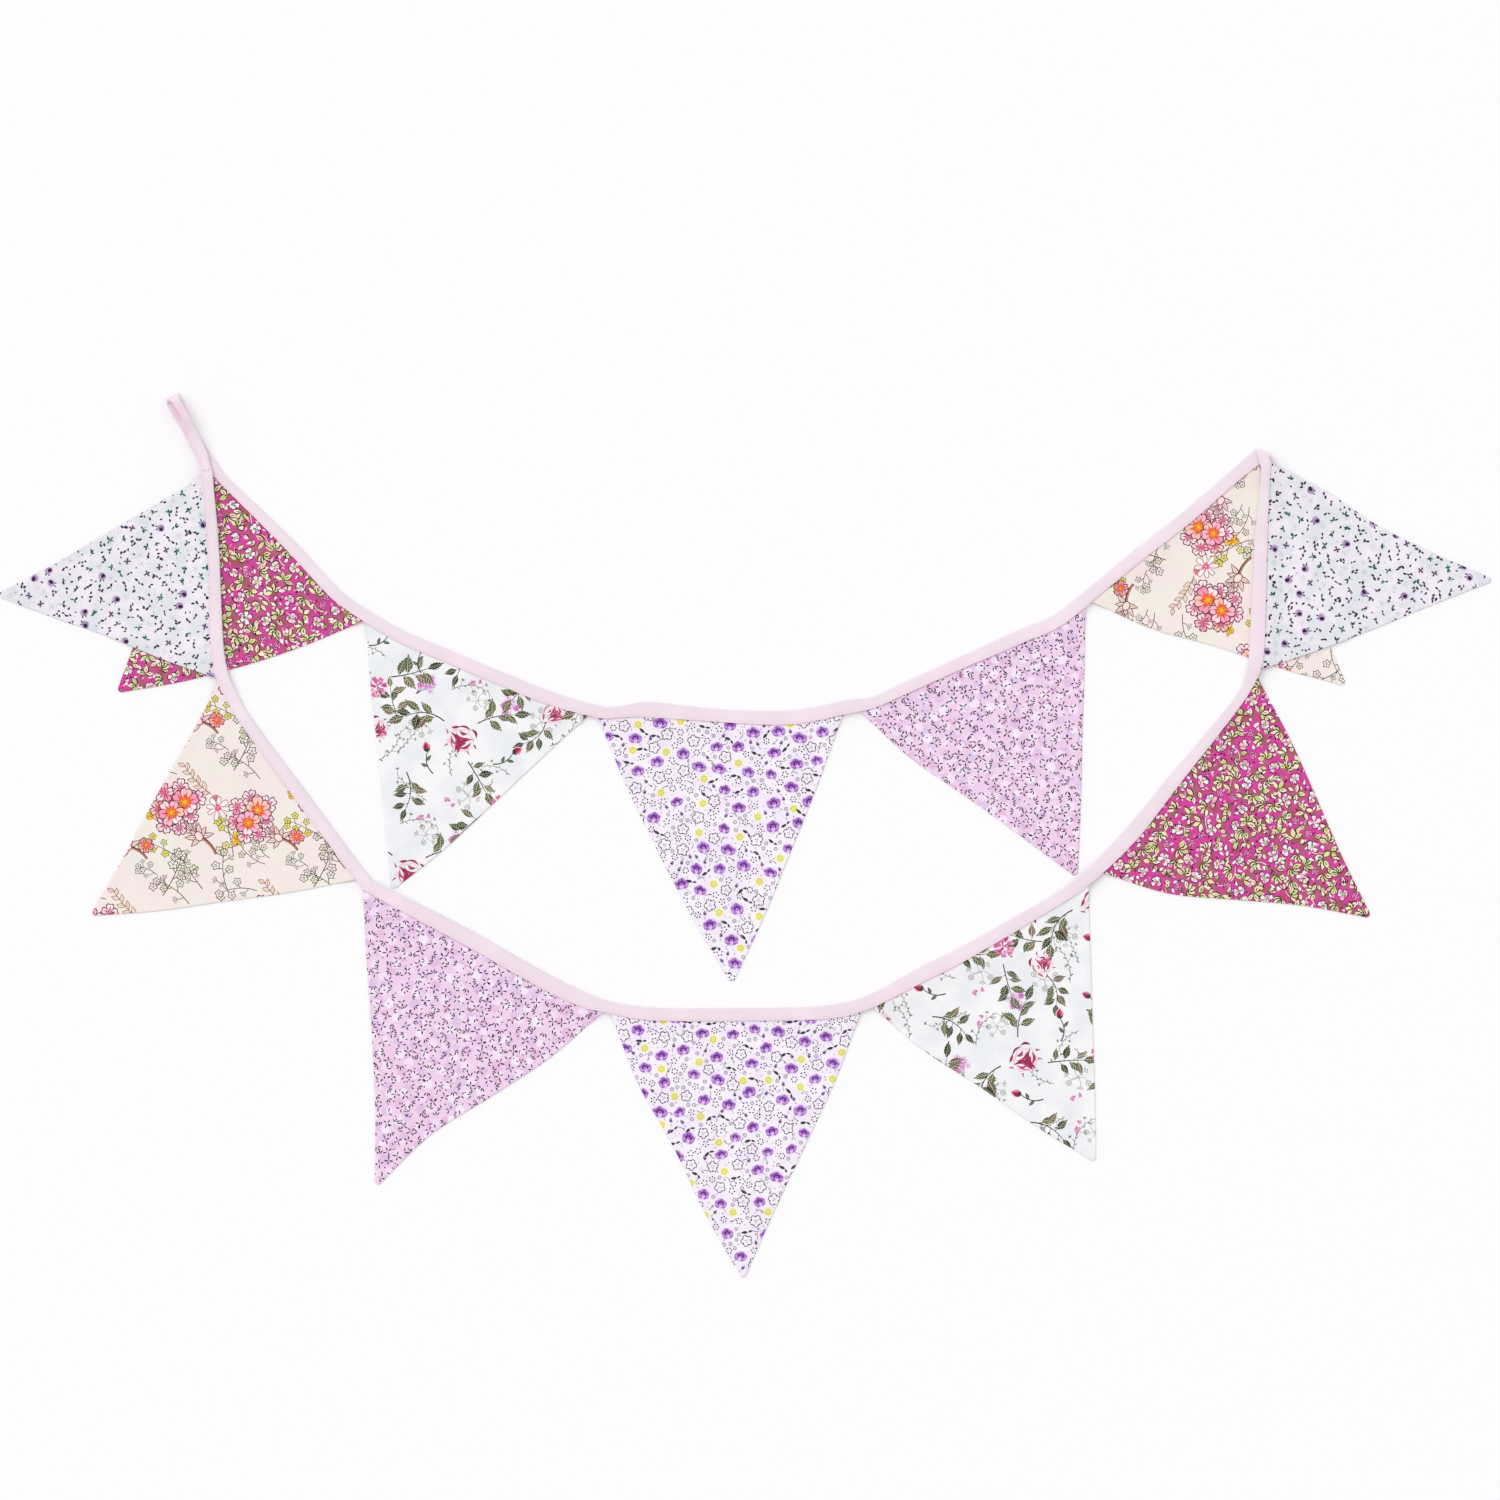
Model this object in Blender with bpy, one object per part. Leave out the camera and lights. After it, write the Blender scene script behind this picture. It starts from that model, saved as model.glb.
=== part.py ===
"""A triangle bunting laid out on a flat surface, doubled back on itself.

Twelve cotton pennants are gripped by one long folded binding tape. The tape starts in a hanging
loop at the upper left, carries five pennants to the right, is turned over at the far corner and
comes back with seven more, so that the second run lies over the first at both ends.

Metres, +Z up. X runs to the right of the layout and Y towards its top, and everything rests on
z = 0. The tables are in millimetres.
"""
import math
from collections import namedtuple

import bmesh
import bpy
from mathutils import Vector

MM = 0.001

# Cloth and clearances, in millimetres.
FLAG_THICK = 1.0       # two layers of cotton turned right side out
LEAF = 1.0             # one side of the folded binding
CLEAR = 0.38           # room left between two pieces
SLOT = FLAG_THICK + 2 * CLEAR
TAPE_THICK = 2 * LEAF + SLOT
STRAP_THICK = 1.4      # the binding pressed shut, where no pennant is in it
STRAP_GROOVE = 0.4     # the line between its two edges there
GROOVE_DEPTH = 0.6
SPINE = 1.2            # how far the fold of the binding is closed
SPINE_ROUND = 0.3      # share of its thickness by which the fold's corners are cut off
TUCK = 0.72            # share of the binding's width that a pennant reaches into
TIP_WIDTH = 3.4        # blunt end of a turned pennant
STATION_STEP = 14.0    # spacing of the binding's cross-sections
HEAD_MARGIN = 0.3      # share of that spacing kept free where a pennant's head ends
DROOP_START = 3.0      # a pennant leaves the binding level over this distance
DROOP_RUN = 12.0       # and settles to the surface over this one
DROOP_ROWS = 3

# How the upper run rides over the lower one.
RIDE_CLEAR = 0.5
RIDE_FLAT = 4.0        # it stays up this far past the edge below it
RIDE_RUN = 26.0        # and is down again this much further on

# The hanging loops.
LOOP_EYE = 5.4         # free height inside the upper loop
EYE_FLAT = 14.0        # length over which it keeps that height
EYE_END = 30.0         # distance from the fold at which its two legs meet
LOOP_STEP = 6.0
FOLD_STEPS = 6

Row = namedtuple("Row", "x y width")

# The folded edge of the binding and its width, from the lower loop's fold to the far corner.
LOWER_LOOP = [
    Row(-463.4, 361.5, 12.0),
    Row(-457.6, 349.3, 12.0),
    Row(-444.4, 323.6, 9.8),
    Row(-438.6, 314.6, 9.4),
]
LOWER_RUN = [
    Row(-431.3, 301.8, 8.0),
    Row(-422.3, 291.1, 7.6),
    Row(-373.1, 244.4, 9.4),
    Row(-340.3, 209.1, 9.5),
    Row(-323.9, 193.9, 9.2),
    Row(-282.9, 169.3, 10.4),
    Row(-241.9, 151.7, 10.6),
    Row(-200.9, 134.5, 10.8),
    Row(-159.9, 118.1, 11.0),
    Row(-118.9, 105.8, 9.8),
    Row(-102.5, 105.8, 9.6),
    Row(-77.9, 109.1, 12.6),
    Row(-20.5, 103.3, 10.6),
    Row(36.9, 102.5, 11.8),
    Row(86.1, 111.1, 11.0),
    Row(102.5, 112.8, 9.4),
    Row(127.1, 123.8, 9.6),
    Row(176.3, 146.4, 10.0),
    Row(225.5, 168.9, 11.4),
    Row(254.2, 181.6, 11.2),
    Row(291.1, 210.7, 10.4),
    Row(323.9, 237.8, 10.8),
    Row(356.7, 263.2, 10.8),
    Row(402.6, 302.4, 10.2),
]
# The crease at the far corner: where the folded edge meets it, its heading, its length and how
# far along it the folded edge leaves again on top.
CREASE_X = 415.4
CREASE_Y = 313.9
CREASE_HEADING = math.radians(-19.0)
CREASE_LENGTH = 14.6
CREASE_SHIFT = 4.2

# The same edge from the far corner back to the upper loop.
UPPER_RUN = [
    Row(421.6, 304.8, 9.0),
    Row(422.9, 297.0, 7.4),
    Row(421.3, 274.7, 7.8),
    Row(417.8, 241.9, 10.2),
    Row(414.5, 176.3, 11.9),
    Row(412.9, 147.6, 12.0),
    Row(410.8, 132.8, 10.0),
    Row(397.7, 108.2, 8.2),
    Row(348.5, 49.6, 11.0),
    Row(311.6, 4.9, 12.8),
    Row(274.7, -32.8, 10.7),
    Row(241.9, -54.9, 10.3),
    Row(176.3, -91.8, 11.8),
    Row(143.5, -108.2, 12.2),
    Row(110.7, -126.3, 11.2),
    Row(94.3, -133.7, 10.7),
    Row(77.9, -137.8, 11.4),
    Row(45.1, -141.0, 10.7),
    Row(-53.3, -141.9, 10.6),
    Row(-86.1, -140.2, 10.7),
    Row(-110.7, -136.1, 9.8),
    Row(-127.1, -130.4, 12.0),
    Row(-151.7, -118.9, 13.0),
    Row(-184.5, -100.9, 13.1),
    Row(-217.3, -82.0, 13.1),
    Row(-250.1, -64.8, 12.8),
    Row(-299.3, -40.2, 10.7),
    Row(-311.6, -29.5, 10.3),
    Row(-356.7, 31.2, 10.7),
    Row(-397.7, 86.1, 9.9),
    Row(-414.1, 112.3, 10.3),
    Row(-426.4, 147.6, 10.6),
    Row(-430.9, 233.7, 9.4),
    Row(-436.2, 297.7, 9.0),
]
UPPER_LOOP = [
    Row(-439.7, 311.6, 9.0),
    Row(-451.2, 337.0, 11.4),
    Row(-462.4, 357.2, 12.3),
]

# Each pennant: its corners a and b on the binding's open edge, its tip, and how far the sides
# a-tip and b-tip stand out from straight at a quarter, half and three quarters of their length.
Flag = namedtuple("Flag", "name run a b tip side_a side_b cells colour")
# Cells of a pennant's grid: across each spacing of the binding, and from its head to its tip.
FLAT = (1, 7)
DRAPED = (2, 16)
OUTLINE_STEPS = 14     # points along each side of a pennant when something is laid over it
BERRY = (0.53, 0.10, 0.27)
ROSE = (0.72, 0.71, 0.72)
POPPY = (0.72, 0.62, 0.74)
LILAC = (0.69, 0.52, 0.69)
BLOSSOM = (0.85, 0.77, 0.67)
BUD = (0.72, 0.70, 0.78)
TAPE_COLOUR = (0.83, 0.70, 0.76)

FLAGS = [
    Flag("flag_01_berry", "lower", (-436.2, 297.7), (-313.2, 175.5), (-513.3, 118.1),
         (2.9, 3.9, 2.9), (5.8, 7.6, 5.8), FLAT, BERRY),
    Flag("flag_02_rose", "lower", (-310.0, 174.7), (-129.6, 94.3), (-288.6, -43.4),
         (1.2, 0.5, 0.0), (0.7, 2.0, 2.9), FLAT, ROSE),
    Flag("flag_03_poppy", "lower", (-120.5, 95.9), (80.4, 97.6), (-10.7, -119.7),
         (4.3, 5.2, 4.2), (2.6, 2.9, 2.8), FLAT, POPPY),
    Flag("flag_04_lilac", "lower", (94.3, 101.7), (277.2, 188.6), (271.4, -32.6),
         (5.2, 2.6, 1.0), (0.8, 0.6, 0.8), FLAT, LILAC),
    Flag("flag_05_blossom", "lower", (282.9, 192.7), (418.6, 307.0), (491.2, 123.8),
         (5.3, 2.6, 2.8), (0.8, 0.0, -1.2), FLAT, BLOSSOM),
    Flag("flag_06_bud", "upper", (431.0, 305.5), (423.9, 135.3), (611.7, 209.1),
         (0.6, -4.8, -3.8), (2.0, 1.8, 0.4), DRAPED, BUD),
    Flag("flag_07_berry", "upper", (420.7, 128.7), (295.2, -32.8), (511.7, -66.4),
         (2.5, 1.5, -0.4), (7.8, 3.7, -0.7), FLAT, BERRY),
    Flag("flag_08_rose", "upper", (285.5, -46.0), (105.0, -141.9), (286.2, -266.5),
         (0.4, 0.4, 0.8), (4.9, 3.1, 3.1), FLAT, ROSE),
    Flag("flag_09_poppy", "upper", (95.9, -146.8), (-109.9, -146.8), (-1.6, -362.4),
         (3.3, 2.0, 0.2), (5.7, 2.7, 3.4), FLAT, POPPY),
    Flag("flag_10_lilac", "upper", (-116.4, -144.3), (-313.2, -44.3), (-301.8, -286.2),
         (3.1, -1.2, -6.5), (-0.4, -2.3, -2.5), FLAT, LILAC),
    Flag("flag_11_blossom", "upper", (-319.8, -36.9), (-433.0, 123.8), (-534.6, -64.8),
         (3.2, 3.0, 3.3), (-0.7, 0.0, -0.8), FLAT, BLOSSOM),
    Flag("flag_12_bud", "upper", (-435.4, 127.9), (-446.9, 301.8), (-611.7, 196.8),
         (1.0, -0.8, 0.2), (-0.2, -0.9, -1.6), DRAPED, BUD),
]

# One cross-section of the binding: its folded and open edges at mid thickness, the way its
# first side faces, and the thickness, slot height and slot depth there.
Station = namedtuple("Station", "outer inner face thick slot depth")
UP = Vector((0, 0, 1))


def clear_scene():
    """Remove whatever the file holds."""
    for item in list(bpy.data.objects):
        bpy.data.objects.remove(item, do_unlink=True)


def ease(t):
    """A smooth step from 0 to 1."""
    t = min(1.0, max(0.0, t))
    return t * t * (3 - 2 * t)


def through(rows, step):
    """Rows on a smooth curve through the given rows, about step millimetres apart."""
    points = [Vector(row) for row in rows]
    first = points[0] * 2 - points[1]
    last = points[-1] * 2 - points[-2]
    padded = [first] + points + [last]
    result = []
    for i in range(1, len(padded) - 2):
        p0, p1, p2, p3 = padded[i - 1:i + 3]
        count = max(1, round((p2.xy - p1.xy).length / step))
        for k in range(count):
            t = k / count
            bend = (p2 - p0) * t + (p0 * 2 - p1 * 5 + p2 * 4 - p3) * t * t
            result.append(p1 + (bend + (p1 * 3 - p0 - p2 * 3 + p3) * t ** 3) * 0.5)
    result.append(points[-1])
    return result


def across(points, i):
    """The level direction from the folded edge to the open edge at point i of a curve."""
    ahead = points[min(i + 1, len(points) - 1)].xy - points[max(i - 1, 0)].xy
    ahead.normalize()
    return Vector((ahead.y, -ahead.x, 0))


def strip(points, side, bottom, face, thick, slot, depth=None):
    """Stations along points whose underside lies at bottom(x, y); side is +1 or -1."""
    stations = []
    for i, point in enumerate(points):
        outer = Vector((point.x, point.y, 0))
        inner = outer + across(points, i) * side * point.z
        outer.z = bottom(outer.x, outer.y) + thick / 2
        inner.z = bottom(inner.x, inner.y) + thick / 2
        cut = point.z - SPINE if depth is None else depth
        stations.append(Station(outer, inner, face.copy(), thick, slot, cut))
    return stations


def turn(start, heading, rise, thick):
    """The half turn of a fold after the station start, ending rise millimetres higher."""
    radius = abs(rise) / 2
    facing = 1 if start.face.z > 0 else -1
    bulge = -facing if rise > 0 else facing
    stations = []
    for k in range(1, FOLD_STEPS):
        angle = math.pi * k / FOLD_STEPS
        lift = UP * (rise / 2) * (1 - math.cos(angle))
        shift = heading * radius * math.sin(angle) + lift
        face = start.face * math.cos(angle) + heading * (bulge * math.sin(angle))
        stations.append(Station(start.outer + shift, start.inner + shift, face, thick,
                                STRAP_GROOVE, GROOVE_DEPTH))
    return stations


def level(height):
    """An underside at one height everywhere."""
    return lambda x, y: height


def along(points):
    """Distances from the first of the points."""
    total = 0.0
    result = [0.0]
    for a, b in zip(points, points[1:]):
        total += (b.xy - a.xy).length
        result.append(total)
    return result


def segment_distance(point, a, b):
    """Distance in the plan from point to the line a-b."""
    line = b - a
    t = max(0.0, min(1.0, (point - a).dot(line) / line.length_squared))
    return (point - a - line * t).length


def outline_distance(point, outline):
    """Distance in the plan from point to a closed outline, 0 inside it."""
    inside = False
    nearest = math.inf
    for a, b in zip(outline, outline[1:] + outline[:1]):
        nearest = min(nearest, segment_distance(point, a, b))
        if (a.y > point.y) != (b.y > point.y):
            crossing = a.x + (b.x - a.x) * (point.y - a.y) / (b.y - a.y)
            inside = inside != (point.x < crossing)
    return 0.0 if inside else nearest


def reach(distance, full, run):
    """1 up to the distance full, falling smoothly to 0 over run."""
    return ease(1 - (distance - full) / run)


class Ribbon:
    """The part of the binding that pennants are sewn into, as a chain of stations."""

    def __init__(self, stations):
        self.stations = stations

    def place(self, where, share):
        """The mid-thickness point at station number where, share of the way to the open edge."""
        i = min(len(self.stations) - 2, max(0, int(where)))
        t = where - i
        a, b = self.stations[i], self.stations[i + 1]
        outer = a.outer.lerp(b.outer, t)
        inner = a.inner.lerp(b.inner, t)
        return outer.lerp(inner, share)

    def nearest(self, point):
        """The fractional station number whose open edge is nearest to point."""
        target = Vector(point)
        best = (math.inf, 0.0)
        for i, (a, b) in enumerate(zip(self.stations, self.stations[1:])):
            line = b.inner.xy - a.inner.xy
            t = max(0.0, min(1.0, (target - a.inner.xy).dot(line) / line.length_squared))
            best = min(best, ((target - a.inner.xy - line * t).length, i + t))
        return best[1]

    def distance(self, point):
        """Distance in the plan from point to the binding, 0 under it."""
        nearest = math.inf
        for a, b in zip(self.stations, self.stations[1:]):
            middle_a = a.outer.xy.lerp(a.inner.xy, 0.5)
            middle_b = b.outer.xy.lerp(b.inner.xy, 0.5)
            half = (a.inner.xy - a.outer.xy).length / 2
            nearest = min(nearest, segment_distance(point, middle_a, middle_b) - half)
        return max(0.0, nearest)


def side_offset(offsets, t):
    """How far a side stands out at t, from its values at 1/4, 1/2 and 3/4 of its length."""
    q1, q2, q3 = offsets
    knots = (-q1, 0.0, q1, q2, q3, 0.0, -q3)
    place = min(3.999, max(0.0, t * 4))
    i = int(place) + 1
    t = place - int(place)
    p0, p1, p2, p3 = knots[i - 1:i + 3]
    bend = (p2 - p0) * t + (2 * p0 - 5 * p1 + 4 * p2 - p3) * t * t
    return p1 + (bend + (3 * p1 - p0 - 3 * p2 + p3) * t ** 3) * 0.5


def side_normal(corner, tip, other):
    """The level direction out of the pennant at right angles to the side corner-tip."""
    line = (tip - corner).normalized()
    normal = Vector((line.y, -line.x))
    return -normal if normal.dot(other - corner) > 0 else normal


def head_span(flag, ribbon):
    """The station numbers between which a pennant's head lies."""
    last = len(ribbon.stations) - 1 - HEAD_MARGIN
    start = min(last, max(HEAD_MARGIN, ribbon.nearest(flag.a)))
    end = min(last, max(HEAD_MARGIN, ribbon.nearest(flag.b)))
    return start, end


def head_columns(flag, ribbon):
    """Shares of the head from 0 to 1, one at each station of the binding and cells between."""
    start, end = head_span(flag, ribbon)
    knots = [start]
    for i in range(math.ceil(start + HEAD_MARGIN), math.floor(end - HEAD_MARGIN) + 1):
        knots.append(float(i))
    knots.append(end)
    across_cells = flag.cells[0]
    places = [knots[0]]
    for a, b in zip(knots, knots[1:]):
        places += [a + (b - a) * (k + 1) / across_cells for k in range(across_cells)]
    return [(place - start) / (end - start) for place in places]


def flag_plan(flag, ribbon, u, v):
    """The plan point of a pennant: u runs from side a to side b, v from its head to its tip."""
    start, end = head_span(flag, ribbon)
    head = ribbon.place(start + (end - start) * u, 1.0).xy
    tip = Vector(flag.tip)
    a = Vector(flag.a)
    b = Vector(flag.b)
    end_point = tip + (b - a).normalized() * TIP_WIDTH * (u - 0.5)
    point = head.lerp(end_point, v)
    point += side_normal(a, tip, b) * side_offset(flag.side_a, v) * (1 - u)
    point += side_normal(b, tip, a) * side_offset(flag.side_b, v) * u
    return point


def flag_outline(flag, ribbon):
    """The pennant's outline outside the binding, with its head's edge."""
    shares = [k / OUTLINE_STEPS for k in range(OUTLINE_STEPS + 1)]
    side_a = [flag_plan(flag, ribbon, 0, v) for v in shares]
    side_b = [flag_plan(flag, ribbon, 1, v) for v in shares]
    head = [flag_plan(flag, ribbon, u, 0) for u in shares[1:-1]]
    return head[::-1] + side_a + side_b[::-1]


def flag_rows(flag, ribbon, ride):
    """The pennant's mid-thickness points, row by row from inside the binding to the tip."""
    rows = flag.cells[1]
    start, end = head_span(flag, ribbon)
    columns = head_columns(flag, ribbon)
    grid = []
    for share in (1 - TUCK, 1.0):
        grid.append([ribbon.place(start + (end - start) * u, share) for u in columns])
    length = (Vector(flag.tip) - Vector(flag.a).lerp(Vector(flag.b), 0.5)).length
    depths = [(DROOP_START + DROOP_RUN * k / DROOP_ROWS) / length for k in range(DROOP_ROWS + 1)]
    depths += [depths[-1] + (1 - depths[-1]) * (k + 1) / rows for k in range(rows)]
    head_height = TAPE_THICK / 2 - FLAG_THICK / 2
    for v in depths:
        row = []
        droop = head_height * (1 - ease((v * length - DROOP_START) / DROOP_RUN))
        for u in columns:
            plan = flag_plan(flag, ribbon, u, v)
            row.append(Vector((plan.x, plan.y, ride(plan.x, plan.y) + droop + FLAG_THICK / 2)))
        grid.append(row)
    return grid


def slab(name, grid, thick):
    """A closed sheet of the given thickness about a grid of mid-thickness points."""
    mesh = bmesh.new()
    half = Vector((0, 0, thick / 2))
    top = [[mesh.verts.new((point + half) * MM) for point in row] for row in grid]
    low = [[mesh.verts.new((point - half) * MM) for point in row] for row in grid]
    last_row = len(grid) - 1
    last = len(grid[0]) - 1
    for j in range(last_row):
        for i in range(last):
            mesh.faces.new((top[j][i], top[j][i + 1], top[j + 1][i + 1], top[j + 1][i]))
            mesh.faces.new((low[j][i], low[j + 1][i], low[j + 1][i + 1], low[j][i + 1]))
    for j in range(last_row):
        mesh.faces.new((top[j][0], top[j + 1][0], low[j + 1][0], low[j][0]))
        mesh.faces.new((top[j][last], low[j][last], low[j + 1][last], top[j + 1][last]))
    for i in range(last):
        mesh.faces.new((top[0][i], low[0][i], low[0][i + 1], top[0][i + 1]))
        mesh.faces.new((top[last_row][i], top[last_row][i + 1],
                        low[last_row][i + 1], low[last_row][i]))
    return finish_mesh(name, mesh)


# The faces that close a cross-section at an end of the binding, by corner number.
END_QUADS = ((0, 1, 2, 3), (0, 3, 4, 7), (4, 5, 6, 7), (0, 7, 8, 9))


def section(station):
    """The ring of the binding's cross-section at a station."""
    span = station.inner - station.outer
    width = span.length
    reach_in = span / width
    half = station.thick / 2
    gap = station.slot / 2
    cut = width - station.depth
    round_off = SPINE_ROUND * station.thick
    ring = [(round_off, -half), (width, -half), (width, -gap), (cut, -gap), (cut, gap),
            (width, gap), (width, half), (round_off, half), (0, half - round_off),
            (0, round_off - half)]
    return [station.outer + reach_in * a + station.face * h for a, h in ring]


def sweep(name, stations):
    """One closed solid through the cross-sections at the stations."""
    mesh = bmesh.new()
    rings = [[mesh.verts.new(point * MM) for point in section(s)] for s in stations]
    size = len(rings[0])
    for a, b in zip(rings, rings[1:]):
        for k in range(size):
            mesh.faces.new((a[k], a[(k + 1) % size], b[(k + 1) % size], b[k]))
    for end in (rings[0], rings[-1]):
        for corners in END_QUADS:
            mesh.faces.new([end[k] for k in corners])
    return finish_mesh(name, mesh)


def finish_mesh(name, mesh):
    """Turn a bmesh into an object of the scene, with its faces pointing out."""
    bmesh.ops.triangulate(mesh, faces=mesh.faces[:])
    bmesh.ops.recalc_face_normals(mesh, faces=mesh.faces[:])
    data = bpy.data.meshes.new(name)
    mesh.to_mesh(data)
    mesh.free()
    item = bpy.data.objects.new(name, data)
    bpy.context.scene.collection.objects.link(item)
    return item


def cotton(name, colour, roughness):
    """A plain woven cloth material."""
    material = bpy.data.materials.new(name)
    material.use_nodes = True
    shader = material.node_tree.nodes["Principled BSDF"]
    shader.inputs["Base Color"].default_value = (*colour, 1)
    shader.inputs["Roughness"].default_value = roughness
    shader.inputs["Metallic"].default_value = 0
    return material


def loop_heading(rows):
    """The level direction in which a loop points, at its fold."""
    heading = Vector((rows[0].x - rows[1].x, rows[0].y - rows[1].y, 0))
    return heading.normalized()


def lower_stations():
    """The binding from its lower end, through the lower loop and the lower run, to the crease."""
    leg = through(LOWER_LOOP, LOOP_STEP)
    back_up = leg[::-1][2:]
    upper_leg = strip(back_up, 1, level(STRAP_THICK + CLEAR), UP, STRAP_THICK,
                      STRAP_GROOVE, GROOVE_DEPTH)
    lower_leg = strip(leg, 1, level(0), -UP, STRAP_THICK, STRAP_GROOVE, GROOVE_DEPTH)
    for i, station in enumerate(upper_leg):
        twin = lower_leg[len(upper_leg) - 1 - i]
        upper_leg[i] = station._replace(inner=Vector((*twin.inner.xy, station.inner.z)))
    fold = turn(upper_leg[-1], loop_heading(LOWER_LOOP), -(STRAP_THICK + CLEAR), STRAP_THICK)
    run = strip(through(LOWER_RUN, STATION_STEP), 1, level(0), -UP, TAPE_THICK, SLOT)
    return upper_leg, fold, lower_leg, run


def crease_stations(rise):
    """The binding at the far corner: on the crease below, round it, and on it again above."""
    heading = Vector((math.cos(CREASE_HEADING), math.sin(CREASE_HEADING), 0))
    outer = Vector((CREASE_X, CREASE_Y, TAPE_THICK / 2))
    first = Station(outer, outer + heading * CREASE_LENGTH, -UP, TAPE_THICK, SLOT,
                    CREASE_LENGTH - SPINE)
    beyond = Vector((-heading.y, heading.x, 0))
    fold = turn(first, beyond, rise, TAPE_THICK)
    lift = UP * rise
    slide = heading * CREASE_SHIFT
    for k, station in enumerate(fold):
        share = (k + 1) / FOLD_STEPS
        fold[k] = station._replace(outer=station.outer + slide * share)
    second = first._replace(outer=first.outer + lift + slide, inner=first.inner + lift,
                            face=UP.copy(), depth=first.depth - CREASE_SHIFT)
    return [first] + fold + [second]


def ride_height(ribbon, outlines):
    """How high the underside of the upper run lies at a place, to clear what is below it."""
    def bottom(x, y):
        point = Vector((x, y))
        over_tape = reach(ribbon.distance(point), RIDE_FLAT, RIDE_RUN)
        height = (TAPE_THICK + RIDE_CLEAR) * over_tape
        for outline in outlines:
            over_flag = reach(outline_distance(point, outline), RIDE_FLAT, RIDE_RUN)
            height = max(height, (FLAG_THICK + RIDE_CLEAR) * over_flag)
        return height
    return bottom


def upper_stations(ride):
    """The binding from the far corner along the upper run and through the upper loop."""
    run = strip(through(UPPER_RUN, STATION_STEP), -1, ride, UP, TAPE_THICK, SLOT)
    stack = 2 * (STRAP_THICK + CLEAR)
    leg = through(UPPER_LOOP, LOOP_STEP)
    lower_leg = strip(leg, -1, level(stack), UP, STRAP_THICK, STRAP_GROOVE, GROOVE_DEPTH)
    rise = LOOP_EYE + STRAP_THICK
    heading = loop_heading(UPPER_LOOP[::-1])
    fold = turn(lower_leg[-1], heading, rise, STRAP_THICK)
    upper_leg = []
    travelled = along(leg[::-1])
    for station, distance in zip(lower_leg[::-1], travelled):
        open_share = 1 - ease((distance - EYE_FLAT) / (EYE_END - EYE_FLAT))
        lift = UP * (STRAP_THICK + CLEAR + (LOOP_EYE - CLEAR) * open_share)
        upper_leg.append(station._replace(outer=station.outer + lift, inner=station.inner + lift,
                                          face=-UP))
    return run, lower_leg, fold, upper_leg[:-2]


def centre_on_origin(items):
    """Move the meshes so that the middle of their bounding box lies over the origin."""
    points = [vert.co for item in items for vert in item.data.vertices]
    shift = Vector((-(min(p.x for p in points) + max(p.x for p in points)) / 2,
                    -(min(p.y for p in points) + max(p.y for p in points)) / 2,
                    -min(p.z for p in points)))
    for item in items:
        for vert in item.data.vertices:
            vert.co += shift


def build():
    """Model the binding and its twelve pennants."""
    clear_scene()
    upper_leg, first_fold, lower_leg, lower_run = lower_stations()
    corner = crease_stations(TAPE_THICK + RIDE_CLEAR)
    lower_ribbon = Ribbon(lower_run + [corner[0]])
    lower_chain = Ribbon(upper_leg + first_fold + lower_leg + lower_run + [corner[0]])
    lower_flags = [flag for flag in FLAGS if flag.run == "lower"]
    outlines = [flag_outline(flag, lower_ribbon) for flag in lower_flags]
    ride = ride_height(lower_chain, outlines)
    upper_run, loop_low, last_fold, loop_high = upper_stations(ride)
    upper_ribbon = Ribbon([corner[-1]] + upper_run)

    chain = upper_leg + first_fold + lower_leg + lower_run + corner
    chain += upper_run + loop_low + last_fold + loop_high
    tape = sweep("tape", chain)
    tape.data.materials.append(cotton("binding_cotton", TAPE_COLOUR, 0.85))

    items = [tape]
    cloths = {}
    for flag in FLAGS:
        lower = flag.run == "lower"
        ribbon = lower_ribbon if lower else upper_ribbon
        grid = flag_rows(flag, ribbon, level(0) if lower else ride)
        item = slab(flag.name, grid, FLAG_THICK)
        cloth = flag.name.split("_")[-1]
        if cloth not in cloths:
            cloths[cloth] = cotton(cloth + "_cotton", flag.colour, 0.9)
        item.data.materials.append(cloths[cloth])
        items.append(item)
    centre_on_origin(items)


build()
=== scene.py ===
"""The looks of the bunting: printed cotton pennants in a stitched, folded binding tape.

Lengths are in millimetres until a mesh is made, and in the layout's own frame: X runs to the
right, Y towards the top of the photograph.
"""

import math
import random
from collections import namedtuple
from math import cos, pi, sin

import bpy
import numpy as np
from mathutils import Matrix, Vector
from mathutils.geometry import delaunay_2d_cdt


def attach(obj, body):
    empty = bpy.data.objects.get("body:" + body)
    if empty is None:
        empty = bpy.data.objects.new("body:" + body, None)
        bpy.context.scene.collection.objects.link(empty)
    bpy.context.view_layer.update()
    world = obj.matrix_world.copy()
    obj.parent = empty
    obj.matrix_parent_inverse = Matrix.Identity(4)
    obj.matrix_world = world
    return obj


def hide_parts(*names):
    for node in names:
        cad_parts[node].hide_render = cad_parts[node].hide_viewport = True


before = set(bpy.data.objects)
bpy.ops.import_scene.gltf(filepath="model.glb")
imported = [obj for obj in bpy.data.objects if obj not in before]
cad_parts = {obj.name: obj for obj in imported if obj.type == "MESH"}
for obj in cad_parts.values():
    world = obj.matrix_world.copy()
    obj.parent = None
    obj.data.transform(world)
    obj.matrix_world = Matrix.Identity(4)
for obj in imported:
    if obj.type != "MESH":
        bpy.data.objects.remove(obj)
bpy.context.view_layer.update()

MM = 0.001
SHIFT = (0.02, -0.18)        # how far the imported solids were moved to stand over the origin

# The cloth.
FLAG_THICK = 1.0
LEAF = 1.0
CLEAR = 0.38
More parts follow.
